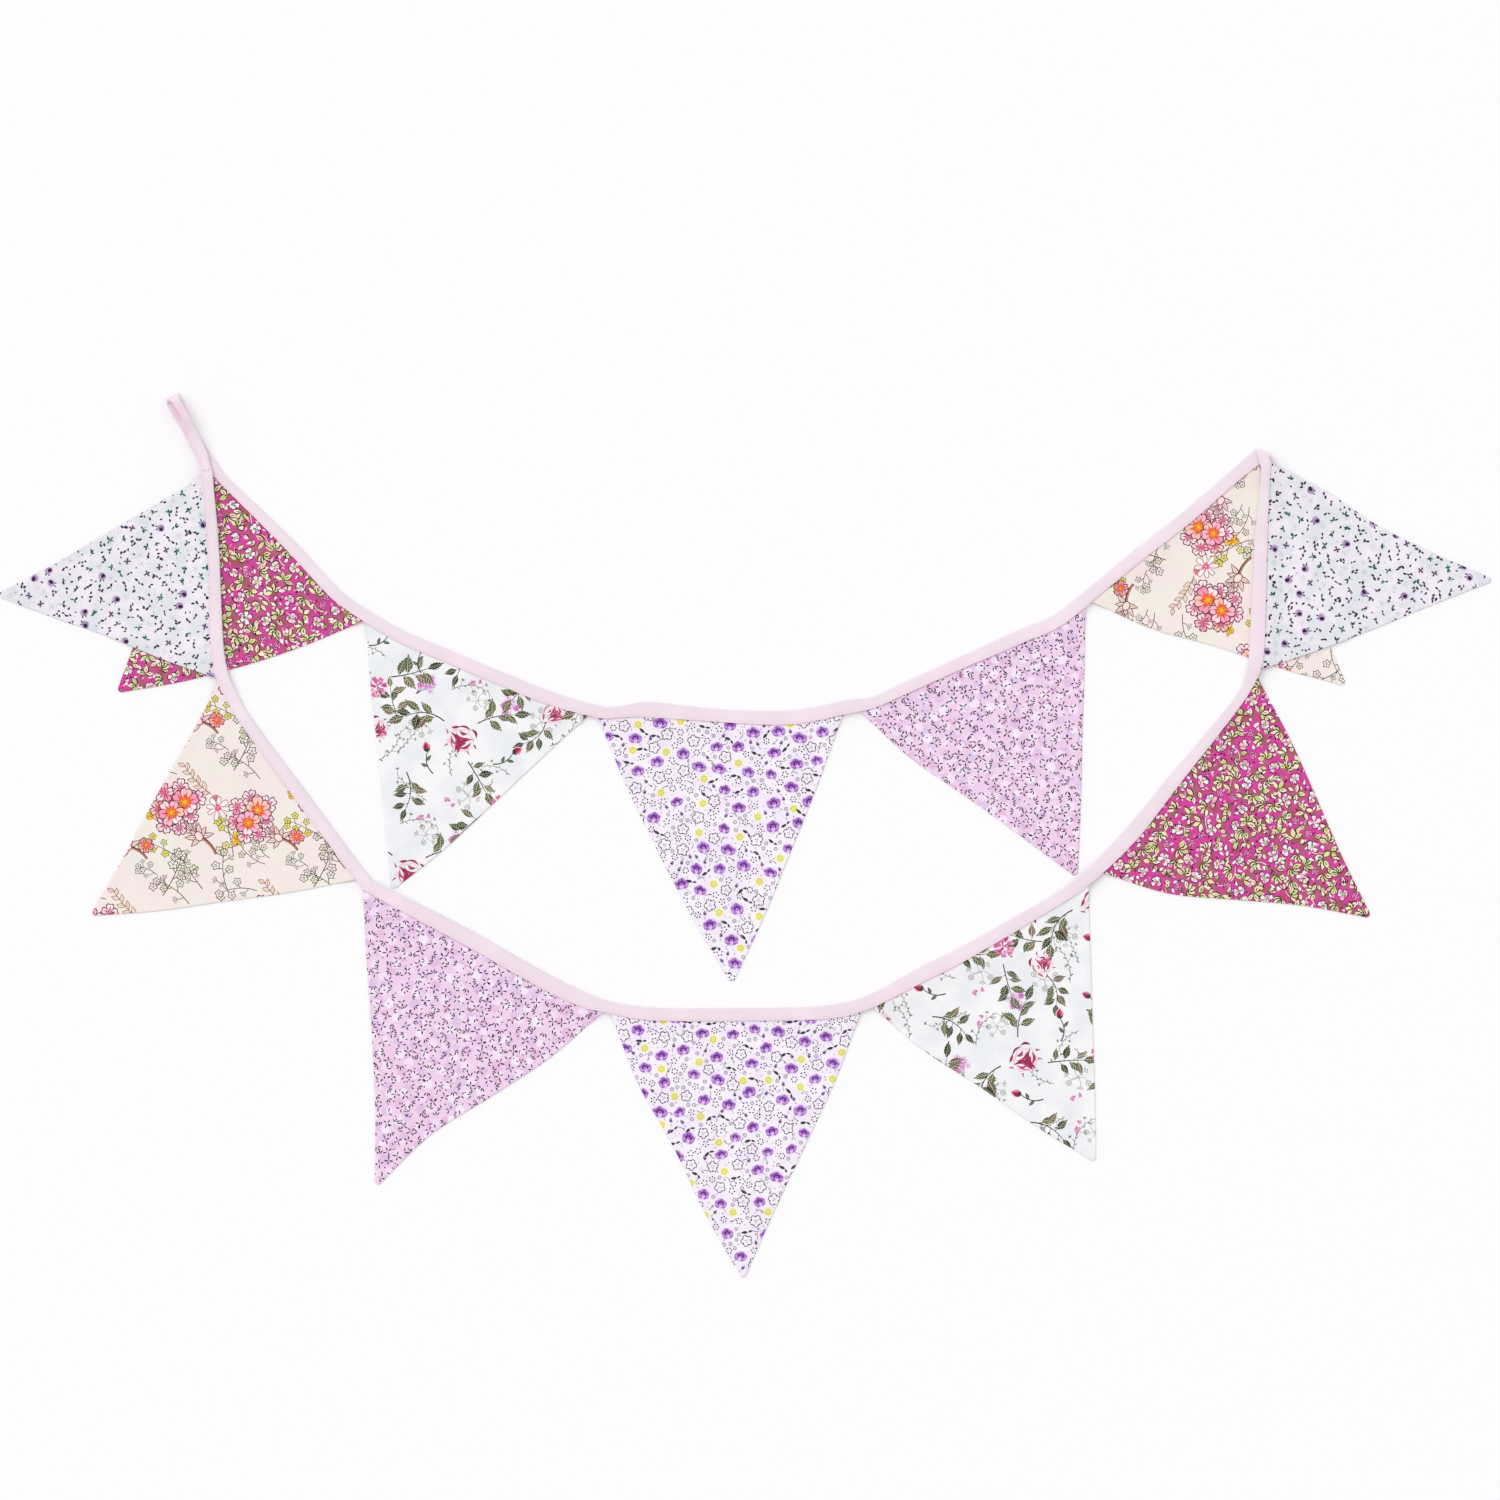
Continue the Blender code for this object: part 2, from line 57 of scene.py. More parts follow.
SLOT = FLAG_THICK + 2 * CLEAR
TAPE_THICK = 2 * LEAF + SLOT
STRAP_THICK = 1.4
STRAP_GROOVE = 0.4
GROOVE_DEPTH = 0.6
SPINE = 1.2
TUCK = 0.66                  # share of the binding's width that a pennant reaches into
TIP_WIDTH = 3.4
HEAD_MARGIN = 0.3
DROOP_START = 3.0
DROOP_RUN = 12.0
RIDE_CLEAR = 0.5
RIDE_FLAT = 4.0
RIDE_RUN = 26.0
LOOP_EYE = 5.4
EYE_FLAT = 14.0
EYE_END = 30.0
LEG_SHORT = 12.0             # the lower loop's returning leg stops this far short of its base
# How far the upper loop's returning leg lies folded aside: (distance from its end, share).
FOLDED_OVER = ((0.0, 0.42), (12.0, 0.46), (20.0, 0.34), (27.0, 0.16), (34.0, 0.05), (60.0, 0.05))
LEG_SHARES = (0.15, 0.3, 0.45, 0.6, 0.75, 0.92)   # cross-sections of its flattened last part
LEG_THIN = 0.09              # how thick it is at the last of them
LEG_LIFT = 0.03
# Painted shade: around this place the binding's tint turns darker and a deeper pink, as inside the
# loop's eye; the second value is how far it reaches.
EYE_PAINTED_SHADE = ((-461.5, 346.5), 8.0)   # where the inside of the loop shows, and how far

COARSE_STEP = 14.0
FINE_STEP = 2.6              # spacing of the binding's cross-sections
FOLD_STEPS = 10

Row = namedtuple("Row", "x y width")
LOWER_LOOP = [Row(*r) for r in (
    (-463.4, 361.5, 12.0), (-457.6, 349.3, 12.0), (-444.4, 323.6, 9.8), (-438.6, 314.6, 9.4))]
LOWER_RUN = [Row(*r) for r in (
    (-431.3, 301.8, 8.0), (-422.3, 291.1, 7.6), (-373.1, 244.4, 9.4), (-340.3, 209.1, 9.5),
    (-323.9, 193.9, 9.2), (-282.9, 169.3, 10.4), (-241.9, 151.7, 10.6), (-200.9, 134.5, 10.8),
    (-159.9, 118.1, 11.0), (-118.9, 105.8, 9.8), (-102.5, 105.8, 9.6), (-77.9, 109.1, 12.6),
    (-20.5, 103.3, 10.6), (36.9, 102.5, 11.8), (86.1, 111.1, 11.0), (102.5, 112.8, 9.4),
    (127.1, 123.8, 9.6), (176.3, 146.4, 10.0), (225.5, 168.9, 11.4), (254.2, 181.6, 11.2),
    (291.1, 210.7, 10.4), (323.9, 237.8, 10.8), (356.7, 263.2, 10.8), (402.6, 302.4, 10.2))]
CREASE_X = 415.4
CREASE_Y = 313.9
CREASE_HEADING = math.radians(-19.0)
CREASE_LENGTH = 14.6
CREASE_SHIFT = 4.2
UPPER_RUN = [Row(*r) for r in (
    (421.6, 304.8, 9.0), (422.9, 297.0, 7.4), (421.3, 274.7, 7.8), (417.8, 241.9, 10.2),
    (414.5, 176.3, 11.9), (412.9, 147.6, 12.0), (410.8, 132.8, 10.0), (397.7, 108.2, 8.2),
    (348.5, 49.6, 11.0), (311.6, 4.9, 12.8), (274.7, -32.8, 10.7), (241.9, -54.9, 10.3),
    (176.3, -91.8, 11.8), (143.5, -108.2, 12.2), (110.7, -126.3, 11.2), (94.3, -133.7, 10.7),
    (77.9, -137.8, 11.4), (45.1, -141.0, 10.7), (-53.3, -141.9, 10.6), (-86.1, -140.2, 10.7),
    (-110.7, -136.1, 9.8), (-127.1, -130.4, 12.0), (-151.7, -118.9, 13.0),
    (-184.5, -100.9, 13.1), (-217.3, -82.0, 13.1), (-250.1, -64.8, 12.8),
    (-299.3, -40.2, 10.7), (-311.6, -29.5, 10.3), (-356.7, 31.2, 10.7), (-397.7, 86.1, 9.9),
    (-414.1, 112.3, 10.3), (-426.4, 147.6, 10.6), (-430.9, 233.7, 9.4), (-436.2, 297.7, 9.0))]
UPPER_LOOP = [Row(*r) for r in (
    (-439.7, 311.6, 9.0), (-451.2, 337.0, 11.4), (-462.4, 357.2, 12.3))]

Flag = namedtuple("Flag", "name run a b tip side_a side_b")
FLAGS = [Flag(*f) for f in (
    ("flag_01_berry", "lower", (-436.2, 297.7), (-313.2, 175.5), (-513.3, 118.1),
     (2.9, 3.9, 2.9), (5.8, 7.6, 5.8)),
    ("flag_02_rose", "lower", (-310.0, 174.7), (-129.6, 94.3), (-288.6, -43.4),
     (1.2, 0.5, 0.0), (0.7, 2.0, 2.9)),
    ("flag_03_poppy", "lower", (-120.5, 95.9), (80.4, 97.6), (-10.7, -119.7),
     (4.3, 5.2, 4.2), (2.6, 2.9, 2.8)),
    ("flag_04_lilac", "lower", (94.3, 101.7), (277.2, 188.6), (271.4, -32.6),
     (5.2, 2.6, 1.0), (0.8, 0.6, 0.8)),
    ("flag_05_blossom", "lower", (282.9, 192.7), (418.6, 307.0), (491.2, 123.8),
     (5.3, 2.6, 2.8), (0.8, 0.0, -1.2)),
    ("flag_06_bud", "upper", (431.0, 305.5), (423.9, 135.3), (611.7, 209.1),
     (0.6, -4.8, -3.8), (2.0, 1.8, 0.4)),
    ("flag_07_berry", "upper", (420.7, 128.7), (295.2, -32.8), (511.7, -66.4),
     (2.5, 1.5, -0.4), (7.8, 3.7, -0.7)),
    ("flag_08_rose", "upper", (285.5, -46.0), (105.0, -141.9), (286.2, -266.5),
     (0.4, 0.4, 0.8), (4.9, 3.1, 3.1)),
    ("flag_09_poppy", "upper", (95.9, -146.8), (-109.9, -146.8), (-1.6, -362.4),
     (3.3, 2.0, 0.2), (5.7, 2.7, 3.4)),
    ("flag_10_lilac", "upper", (-116.4, -144.3), (-313.2, -44.3), (-301.8, -286.2),
     (3.1, -1.2, -6.5), (-0.4, -2.3, -2.5)),
    ("flag_11_blossom", "upper", (-319.8, -36.9), (-433.0, 123.8), (-534.6, -64.8),
     (3.2, 3.0, 3.3), (-0.7, 0.0, -0.8)),
    ("flag_12_bud", "upper", (-435.4, 127.9), (-446.9, 301.8), (-611.7, 196.8),
     (1.0, -0.8, 0.2), (-0.2, -0.9, -1.6)))]

Station = namedtuple("Station", "outer inner face thick slot depth")
UP = Vector((0, 0, 1))


# ---------------------------------------------------------------- the layout, as in the solids

def ease(t):
    t = np.clip(t, 0.0, 1.0)
    return t * t * (3 - 2 * t)


def through(rows, step):
    """A smooth curve through rows of x, y and width, with points about step apart."""
    points = [Vector(row) for row in rows]
    padded = [points[0] * 2 - points[1]] + points + [points[-1] * 2 - points[-2]]
    result = []
    for i in range(1, len(padded) - 2):
        p0, p1, p2, p3 = padded[i - 1:i + 3]
        count = max(1, round((p2.xy - p1.xy).length / step))
        for k in range(count):
            t = k / count
            bend = (p2 - p0) * t + (p0 * 2 - p1 * 5 + p2 * 4 - p3) * t * t
            result.append(p1 + (bend + (p1 * 3 - p0 - p2 * 3 + p3) * t ** 3) * 0.5)
    result.append(points[-1])
    return result


def across(points, i):
    ahead = points[min(i + 1, len(points) - 1)].xy - points[max(i - 1, 0)].xy
    ahead.normalize()
    return Vector((ahead.y, -ahead.x, 0))


def strip(points, side, bottom, face, thick, slot, depth=None):
    """Stations of a binding that lies along points, its open edge on the side given."""
    outer = [Vector((p.x, p.y, 0)) for p in points]
    inner = [o + across(points, i) * side * points[i].z for i, o in enumerate(outer)]
    low_outer = bottom(np.array([o.xy for o in outer]))
    low_inner = bottom(np.array([p.xy for p in inner]))
    stations = []
    for i, point in enumerate(points):
        outer[i].z = low_outer[i] + thick / 2
        inner[i].z = low_inner[i] + thick / 2
        cut = point.z - SPINE if depth is None else depth
        stations.append(Station(outer[i], inner[i], face.copy(), thick, slot, cut))
    return stations


def turn(start, heading, rise, thick):
    """Stations of a fold that carries the binding over, up or down by rise."""
    radius = abs(rise) / 2
    facing = 1 if start.face.z > 0 else -1
    bulge = -facing if rise > 0 else facing
    stations = []
    for k in range(1, FOLD_STEPS):
        angle = pi * k / FOLD_STEPS
        lift = UP * (rise / 2) * (1 - cos(angle))
        shift = heading * radius * sin(angle) + lift
        face = start.face * cos(angle) + heading * (bulge * sin(angle))
        stations.append(Station(start.outer + shift, start.inner + shift, face, thick,
                                STRAP_GROOVE, GROOVE_DEPTH))
    return stations


def level(height):
    return lambda points: np.full(len(points), float(height))


def segment_distances(points, starts, ends):
    """Distances from each point (n, 2) to each segment (m, 2), as (n, m)."""
    line = ends - starts
    size = np.maximum((line ** 2).sum(1), 1e-12)
    to = points[:, None, :] - starts[None]
    t = np.clip((to * line[None]).sum(2) / size, 0, 1)
    return np.sqrt(((to - line[None] * t[..., None]) ** 2).sum(2))


def polyline_distance(points, line):
    line = np.asarray(line)
    return segment_distances(points, line[:-1], line[1:]).min(1)


def inside(points, outline):
    outline = np.asarray(outline)
    ends = np.roll(outline, -1, 0)
    x, y = points[:, 0, None], points[:, 1, None]
    above = (outline[None, :, 1] > y) != (ends[None, :, 1] > y)
    rise = ends[:, 1] - outline[:, 1]
    rise[rise == 0] = 1e-12
    crossing = outline[None, :, 0] + (ends - outline)[None, :, 0] * (y - outline[None, :, 1]) / rise
    return (above & (x < crossing)).sum(1) % 2 == 1


def reach(distance, full, run):
    return ease(1 - (distance - full) / run)


class Ribbon:
    """The binding as a chain of stations; places along it are counted in stations."""

    def __init__(self, stations):
        self.stations = stations
        outer = np.array([s.outer.xy for s in stations])
        inner = np.array([s.inner.xy for s in stations])
        self.inner = inner
        self.middle = (outer + inner) / 2
        self.half = np.sqrt(((inner - outer) ** 2).sum(1)) / 2

    def place(self, where, share):
        i = min(len(self.stations) - 2, max(0, int(where)))
        t = where - i
        a, b = self.stations[i], self.stations[i + 1]
        return a.outer.lerp(b.outer, t).lerp(a.inner.lerp(b.inner, t), share)

    def nearest(self, point):
        target = np.array([point])
        starts, ends = self.inner[:-1], self.inner[1:]
        i = int(segment_distances(target, starts, ends)[0].argmin())
        line = ends[i] - starts[i]
        t = float(np.clip((target[0] - starts[i]) @ line / (line @ line), 0, 1))
        return i + t

    def distance(self, points):
        spans = segment_distances(points, self.middle[:-1], self.middle[1:])
        return np.maximum(0, (spans - self.half[None, :-1]).min(1))


def side_offset(offsets, t):
    """How far a pennant's side bulges a share t down it, from its three measured offsets."""
    q1, q2, q3 = offsets
    knots = (-q1, 0.0, q1, q2, q3, 0.0, -q3)
    place = min(3.999, max(0.0, t * 4))
    i = int(place) + 1
    t = place - int(place)
    p0, p1, p2, p3 = knots[i - 1:i + 3]
    bend = (p2 - p0) * t + (2 * p0 - 5 * p1 + 4 * p2 - p3) * t * t
    return p1 + (bend + (3 * p1 - p0 - 3 * p2 + p3) * t ** 3) * 0.5


def side_normal(corner, tip, other):
    line = (tip - corner).normalized()
    normal = Vector((line.y, -line.x))
    return -normal if normal.dot(other - corner) > 0 else normal


def head_span(flag, ribbon):
    margin = HEAD_MARGIN * ribbon.coarse
    last = len(ribbon.stations) - 1 - margin
    start = min(last, max(margin, ribbon.nearest(flag.a)))
    end = min(last, max(margin, ribbon.nearest(flag.b)))
    return start, end


def flag_plan(flag, ribbon, u, v):
    """A place on a pennant: u across from its first side, v down from the binding."""
    start, end = head_span(flag, ribbon)
    head = ribbon.place(start + (end - start) * u, 1.0).xy
    tip, a, b = Vector(flag.tip), Vector(flag.a), Vector(flag.b)
    point = head.lerp(tip + (b - a).normalized() * TIP_WIDTH * (u - 0.5), v)
    point += side_normal(a, tip, b) * side_offset(flag.side_a, v) * (1 - u)
    point += side_normal(b, tip, a) * side_offset(flag.side_b, v) * u
    return point


def flag_outline(flag, ribbon):
    shares = [k / 14 for k in range(15)]
    side_a = [flag_plan(flag, ribbon, 0, v) for v in shares]
    side_b = [flag_plan(flag, ribbon, 1, v) for v in shares]
    head = [flag_plan(flag, ribbon, u, 0) for u in shares[1:-1]]
    return np.array(head[::-1] + side_a + side_b[::-1])


def lower_stations(step, loop_step):
    leg = through(LOWER_LOOP, loop_step)
    back_up = leg[::-1][round(LEG_SHORT / loop_step):]
    upper_leg = strip(back_up, 1, level(STRAP_THICK + CLEAR), UP, STRAP_THICK,
                      STRAP_GROOVE, GROOVE_DEPTH)
    lower_leg = strip(leg, 1, level(0), -UP, STRAP_THICK, STRAP_GROOVE, GROOVE_DEPTH)
    for i, station in enumerate(upper_leg):
        twin = lower_leg[len(upper_leg) - 1 - i]
        upper_leg[i] = station._replace(inner=Vector((*twin.inner.xy, station.inner.z)))
    heading = Vector((LOWER_LOOP[0].x - LOWER_LOOP[1].x,
                      LOWER_LOOP[0].y - LOWER_LOOP[1].y, 0)).normalized()
    fold = turn(upper_leg[-1], heading, -(STRAP_THICK + CLEAR), STRAP_THICK)
    run = strip(through(LOWER_RUN, step), 1, level(0), -UP, TAPE_THICK, SLOT)
    return upper_leg, fold, lower_leg, run


def crease_stations(rise):
    heading = Vector((cos(CREASE_HEADING), sin(CREASE_HEADING), 0))
    outer = Vector((CREASE_X, CREASE_Y, TAPE_THICK / 2))
    first = Station(outer, outer + heading * CREASE_LENGTH, -UP, TAPE_THICK, SLOT,
                    CREASE_LENGTH - SPINE)
    fold = turn(first, Vector((-heading.y, heading.x, 0)), rise, TAPE_THICK)
    slide = heading * CREASE_SHIFT
    for k, station in enumerate(fold):
        fold[k] = station._replace(outer=station.outer + slide * ((k + 1) / FOLD_STEPS))
    lift = UP * rise
    second = first._replace(outer=first.outer + lift + slide, inner=first.inner + lift,
                            face=UP.copy(), depth=first.depth - CREASE_SHIFT)
    return [first] + fold + [second]


def ride_height(ribbon, outlines):
    def bottom(points):
        over_tape = reach(ribbon.distance(points), RIDE_FLAT, RIDE_RUN)
        height = (TAPE_THICK + RIDE_CLEAR) * over_tape
        for outline in outlines:
            ring = np.vstack([outline, outline[:1]])
            gap = np.where(inside(points, outline), 0.0, polyline_distance(points, ring))
            height = np.maximum(height, (FLAG_THICK + RIDE_CLEAR) * reach(gap, RIDE_FLAT, RIDE_RUN))
        return height
    return bottom


def upper_stations(ride, step, loop_step):
    run = strip(through(UPPER_RUN, step), -1, ride, UP, TAPE_THICK, SLOT)
    leg = through(UPPER_LOOP, loop_step)
    lower_leg = strip(leg, -1, level(2 * (STRAP_THICK + CLEAR)), UP, STRAP_THICK,
                      STRAP_GROOVE, GROOVE_DEPTH)
    heading = Vector((UPPER_LOOP[-1].x - UPPER_LOOP[-2].x,
                      UPPER_LOOP[-1].y - UPPER_LOOP[-2].y, 0)).normalized()
    fold = turn(lower_leg[-1], heading, LOOP_EYE + STRAP_THICK, STRAP_THICK)
    for k, station in enumerate(fold):
        aside = FOLDED_OVER[0][1] * float(ease((k + 1) / FOLD_STEPS))
        fold[k] = station._replace(inner=station.inner.lerp(station.outer, aside))
    upper_leg = []
    travelled = 0.0
    last = leg[-1]
    for station, point in zip(lower_leg[::-1], leg[::-1]):
        travelled += (point.xy - last.xy).length
        last = point
        open_share = 1 - float(ease((travelled - EYE_FLAT) / (EYE_END - EYE_FLAT)))
        lift = UP * (STRAP_THICK + CLEAR + (LOOP_EYE - CLEAR) * open_share)
        aside = float(np.interp(travelled, *zip(*FOLDED_OVER)))
        inner = station.inner.lerp(station.outer, aside)
        upper_leg.append(station._replace(outer=station.outer + lift, inner=inner + lift,
                                          face=-UP))
    return run, lower_leg, fold, upper_leg + leg_end(lower_leg[0], run[-1])


def leg_end(base, top):
    """The returning leg of the upper loop, flattened where it is sewn down at the base."""
    stations = []
    for t in LEG_SHARES:
        done = t / LEG_SHARES[-1]
        thick = STRAP_THICK + (LEG_THIN - STRAP_THICK) * done
        rise = CLEAR * (1 - done) + LEG_LIFT + thick / 2
        outer, inner = base.outer.lerp(top.outer, t), base.inner.lerp(top.inner, t)
        lift = UP * (rise + base.thick / 2 + (top.thick - base.thick) / 2 * t)
        narrow = 0.1 + 0.08 * done ** 3
        stations.append(Station(outer.lerp(inner, narrow) + lift, inner.lerp(outer, narrow) + lift,
                                -UP, thick, thick * 0.28, GROOVE_DEPTH))
    return stations


def ribbon_of(stations, coarse=1.0):
    ribbon = Ribbon(stations)
    ribbon.coarse = coarse
    return ribbon


def layout():
    """The binding's chain of stations, the lower and upper ribbon that hold the pennants, and
    the height at which the upper run rides over what lies below it."""
    corner = crease_stations(TAPE_THICK + RIDE_CLEAR)
    upper_leg, fold, lower_leg, run = lower_stations(COARSE_STEP, 6.0)
    coarse_lower = ribbon_of(run + [corner[0]])
    coarse_chain = ribbon_of(upper_leg + fold + lower_leg + run + [corner[0]])
    outlines = [flag_outline(f, coarse_lower) for f in FLAGS if f.run == "lower"]
    ride = ride_height(coarse_chain, outlines)
    upper_leg, fold, lower_leg, run = lower_stations(FINE_STEP, 2.0)
    upper_run, loop_low, last_fold, loop_high = upper_stations(ride, FINE_STEP, 2.0)
    share = COARSE_STEP / FINE_STEP
    lower = ribbon_of(densify(run + [corner[0]], FINE_STEP), share)
    upper = ribbon_of(densify([corner[-1]] + upper_run, FINE_STEP), share)
    chain = upper_leg + fold + lower_leg + run + corner
    chain += upper_run + loop_low + last_fold + loop_high
    return chain, lower, upper, ride


# ---------------------------------------------------------------- colours and small tools

def linear(hex_colour):
    values = [int(hex_colour[i:i + 2], 16) / 255 for i in (0, 2, 4)]
    return tuple(v / 12.92 if v <= 0.04045 else ((v + 0.055) / 1.055) ** 2.4 for v in values)


def tints(hex_colours):
    return [linear(c) for c in hex_colours.split()]


def wander(rng, count, size):
    """A smooth function of distance: random values at even steps, count of them, size apart."""
    values = np.array([rng.uniform(-1, 1) for _ in range(count)])
    places = np.arange(count) * size

    def value(distance):
        d = np.mod(distance, places[-1])
        i = np.minimum((d / size).astype(int), count - 2)
        t = ease(d / size - i)
        return values[i] * (1 - t) + values[i + 1] * t
    return value


def ripple(points, seed, sizes):
    """Gentle unevenness of a cloth at points, about -1 to 1."""
    rng = random.Random(seed)
    total = np.zeros(len(points))
    weight = 0.0
    for size, share in sizes:
        for _ in range(3):
            angle = rng.uniform(0, pi)
            phase = rng.uniform(0, 2 * pi)
            wave = points[:, 0] * cos(angle) + points[:, 1] * sin(angle)
            total += share * np.sin(wave * 2 * pi / (size * rng.uniform(0.7, 1.3)) + phase)
        weight += share * 1.7
    return total / weight


def link(name, vertices, faces, material, colours=None):
    """An object of the scene from vertices in millimetres."""
    mesh = bpy.data.meshes.new(name)
    vertices = np.asarray(vertices, float)
    vertices = vertices + np.array([SHIFT[0], SHIFT[1], 0.0])
    mesh.from_pydata((vertices * MM).tolist(), [], [list(map(int, f)) for f in faces])
    mesh.polygons.foreach_set("use_smooth", [True] * len(mesh.polygons))
    if colours is not None:
        layer = mesh.color_attributes.new(name="print", type="FLOAT_COLOR", domain="CORNER")
        counts = [len(f) for f in faces]
        values = np.repeat(np.asarray(colours, float), counts, axis=0)
        rgba = np.ones((len(values), 4))
        rgba[:, :3] = values
        layer.data.foreach_set("color", rgba.ravel())
    mesh.materials.append(material)
    mesh.validate()
    mesh.update()
    item = bpy.data.objects.new(name, mesh)
    bpy.context.scene.collection.objects.link(item)
    return item


# ---------------------------------------------------------------- materials

# How fine the unevenness of the cloth is: waves a metre, and detail.
FIBRES, BLOTCHES, SLUB = (1400, 3.0), (28, 3.0), (420, 2.0)


def cotton(name, angle, weave=0.00042, relief=0.00005, roughness=(0.82, 0.95), sheen=0.08,
           vary=0.05, colour=None, wash=None):
    """Woven cotton: the colours of the mesh's print attribute (on the binding a tint with painted
    shade) or a plain colour; uneven dyeing, threads and fibres.
    """
    material = bpy.data.materials.new(name)
    material.use_nodes = True
    tree = material.node_tree

    def feed(target, inputs):
        """Each input gets a link where a socket is given, and else the value."""
        for key, value in inputs.items():
            if isinstance(value, bpy.types.NodeSocket):
                tree.links.new(value, target.inputs[key])
            else:
                target.inputs[key].default_value = value

    def node(kind, inputs, **settings):
        made = tree.nodes.new("ShaderNode" + kind)
        for key, value in settings.items():
            setattr(made, key, value)
        feed(made, inputs)
        return made

    place = node("TexCoord", {}).outputs["Object"]
    grain = node("Mapping", {"Rotation": (0, 0, angle), "Vector": place}).outputs["Vector"]

    def wave(direction):
        inputs = {"Scale": 2 * pi / (20 * weave), "Distortion": 0.6, "Detail": 1.0,
                  "Detail Scale": 0.4, "Vector": grain}
        return node("TexWave", inputs, wave_type="BANDS", bands_direction=direction,
                    wave_profile="SIN").outputs["Fac"]

    def noise(scale, detail):
        inputs = {"Scale": scale, "Detail": detail, "Vector": grain}
        return node("TexNoise", inputs).outputs["Fac"]

    def maths(kind, a, b):
        return node("Math", {0: a, 1: b}, operation=kind).outputs[0]

    threads = maths("MULTIPLY", wave("X"), wave("Y"))
    fibres, blotches, slub = noise(*FIBRES), noise(*BLOTCHES), noise(*SLUB)

    if colour is None:
        base = node("Attribute", {}, attribute_type="GEOMETRY", attribute_name="print")
        base = base.outputs["Color"]
    else:
        base = node("RGB", {}).outputs[0]
        base.default_value = (*colour, 1)

    if wash:
        fine, first, second = wash
        share = node("MapRange", {"From Min": 0.38, "From Max": 0.62, "Value": noise(fine, 2.0)})
        tint = node("Mix", {}, data_type="RGBA")
        feed(tint, {0: share.outputs["Result"], 6: (*first, 1), 7: (*second, 1)})
        dyed = node("VectorMath", {0: base, 1: tint.outputs[2]}, operation="MULTIPLY")
        base = dyed.outputs["Vector"]

    # Uneven dyeing and threads that differ a little: the colour times 1 give or take vary.
    light = 1.0
    for uneven, middle, share in ((blotches, 0.5, 1.6), (slub, 0.5, 1.0), (threads, 0.25, 1.2)):
        off = maths("SUBTRACT", uneven, middle)
        light = maths("ADD", light, maths("MULTIPLY", off, vary * share))
    dyed = node("VectorMath", {0: base, "Scale": light}, operation="SCALE")
    rough = node("MapRange", {"To Min": roughness[0], "To Max": roughness[1], "Value": slub})
    height = maths("ADD", threads, maths("MULTIPLY", fibres, 0.5))
    bump = node("Bump", {"Strength": 0.5, "Distance": relief, "Height": height})
    feed(tree.nodes["Principled BSDF"], {
        "Sheen Weight": sheen, "Sheen Roughness": 0.45, "Specular IOR Level": 0.25,
        "Base Color": dyed.outputs["Vector"], "Roughness": rough.outputs["Result"],
        "Normal": bump.outputs["Normal"]})
    return material


# ---------------------------------------------------------------- the pennants

RIM_LINES = (0.35, 1.0, 2.4, 5.2, 6.6)   # distances from a sewn side at which there are points
SEAM = 5.9                               # width of the seam allowance inside
SEAM_STEP = 0.16                         # how much lower the cloth lies beyond it
ROLL = 0.45                              # the turned edge is rounded over this distance
FILL = 0.96                              # share of the solid's thickness that the cloth takes
GRID = 4.6                               # spacing of the points inside
GRID_IN = 7.4                            # they stay this far from the edge
SIDE_STEP = 3.0
FREE_START, FREE_RUN = 12, 14            # how far from the binding the cloth begins to lie free
WAVES, WAVE_HEIGHT = ((95, 1.0), (48, 0.6)), 0.16
PUCKERS, PUCKER_HEIGHT = ((9, 1.0), (5.5, 0.8)), 0.05


def side_points(flag, ribbon, u):
    """Points along a side from its corner to its tip."""
    length = (Vector(flag.tip) - Vector(flag.a if u == 0 else flag.b)).length
    count = round(length / SIDE_STEP)
    return [flag_plan(flag, ribbon, u, k / count) for k in range(count + 1)]


def rounded_tip(side_a, side_b):
    """The two sides with the tip's corners rounded."""
    a, b = side_a[-1], side_b[-1]
    before_a, before_b = side_a[-2], side_b[-2]
    side_a[-1] = a.lerp(before_a, 0.35)
    side_b[-1] = b.lerp(before_b, 0.35)
    middle = (a + b) * 0.5
    beyond = (middle - (before_a + before_b) * 0.5).normalized()
    soft = [a.lerp(b, 0.18) - beyond * 0.25, middle + beyond * 0.1, a.lerp(b, 0.82) - beyond * 0.25]
    return side_a + soft + side_b[::-1]


def inset(line, distance, towards):
    """A polyline moved sideways by distance, towards the point given."""
    line = np.asarray(line)
    ahead = np.gradient(line, axis=0)
    ahead /= np.maximum(np.sqrt((ahead ** 2).sum(1, keepdims=True)), 1e-9)
    normal = np.stack([ahead[:, 1], -ahead[:, 0]], 1)
    middle = line[len(line) // 2]
    if (np.asarray(towards) - middle) @ normal[len(line) // 2] < 0:
        normal = -normal
    return line + normal * distance


def counter_clockwise(points):
    points = np.asarray(points, float)
    x, y = points[:, 0], points[:, 1]
    area = (x * np.roll(y, -1) - y * np.roll(x, -1)).sum()
    return points if area > 0 else points[::-1]


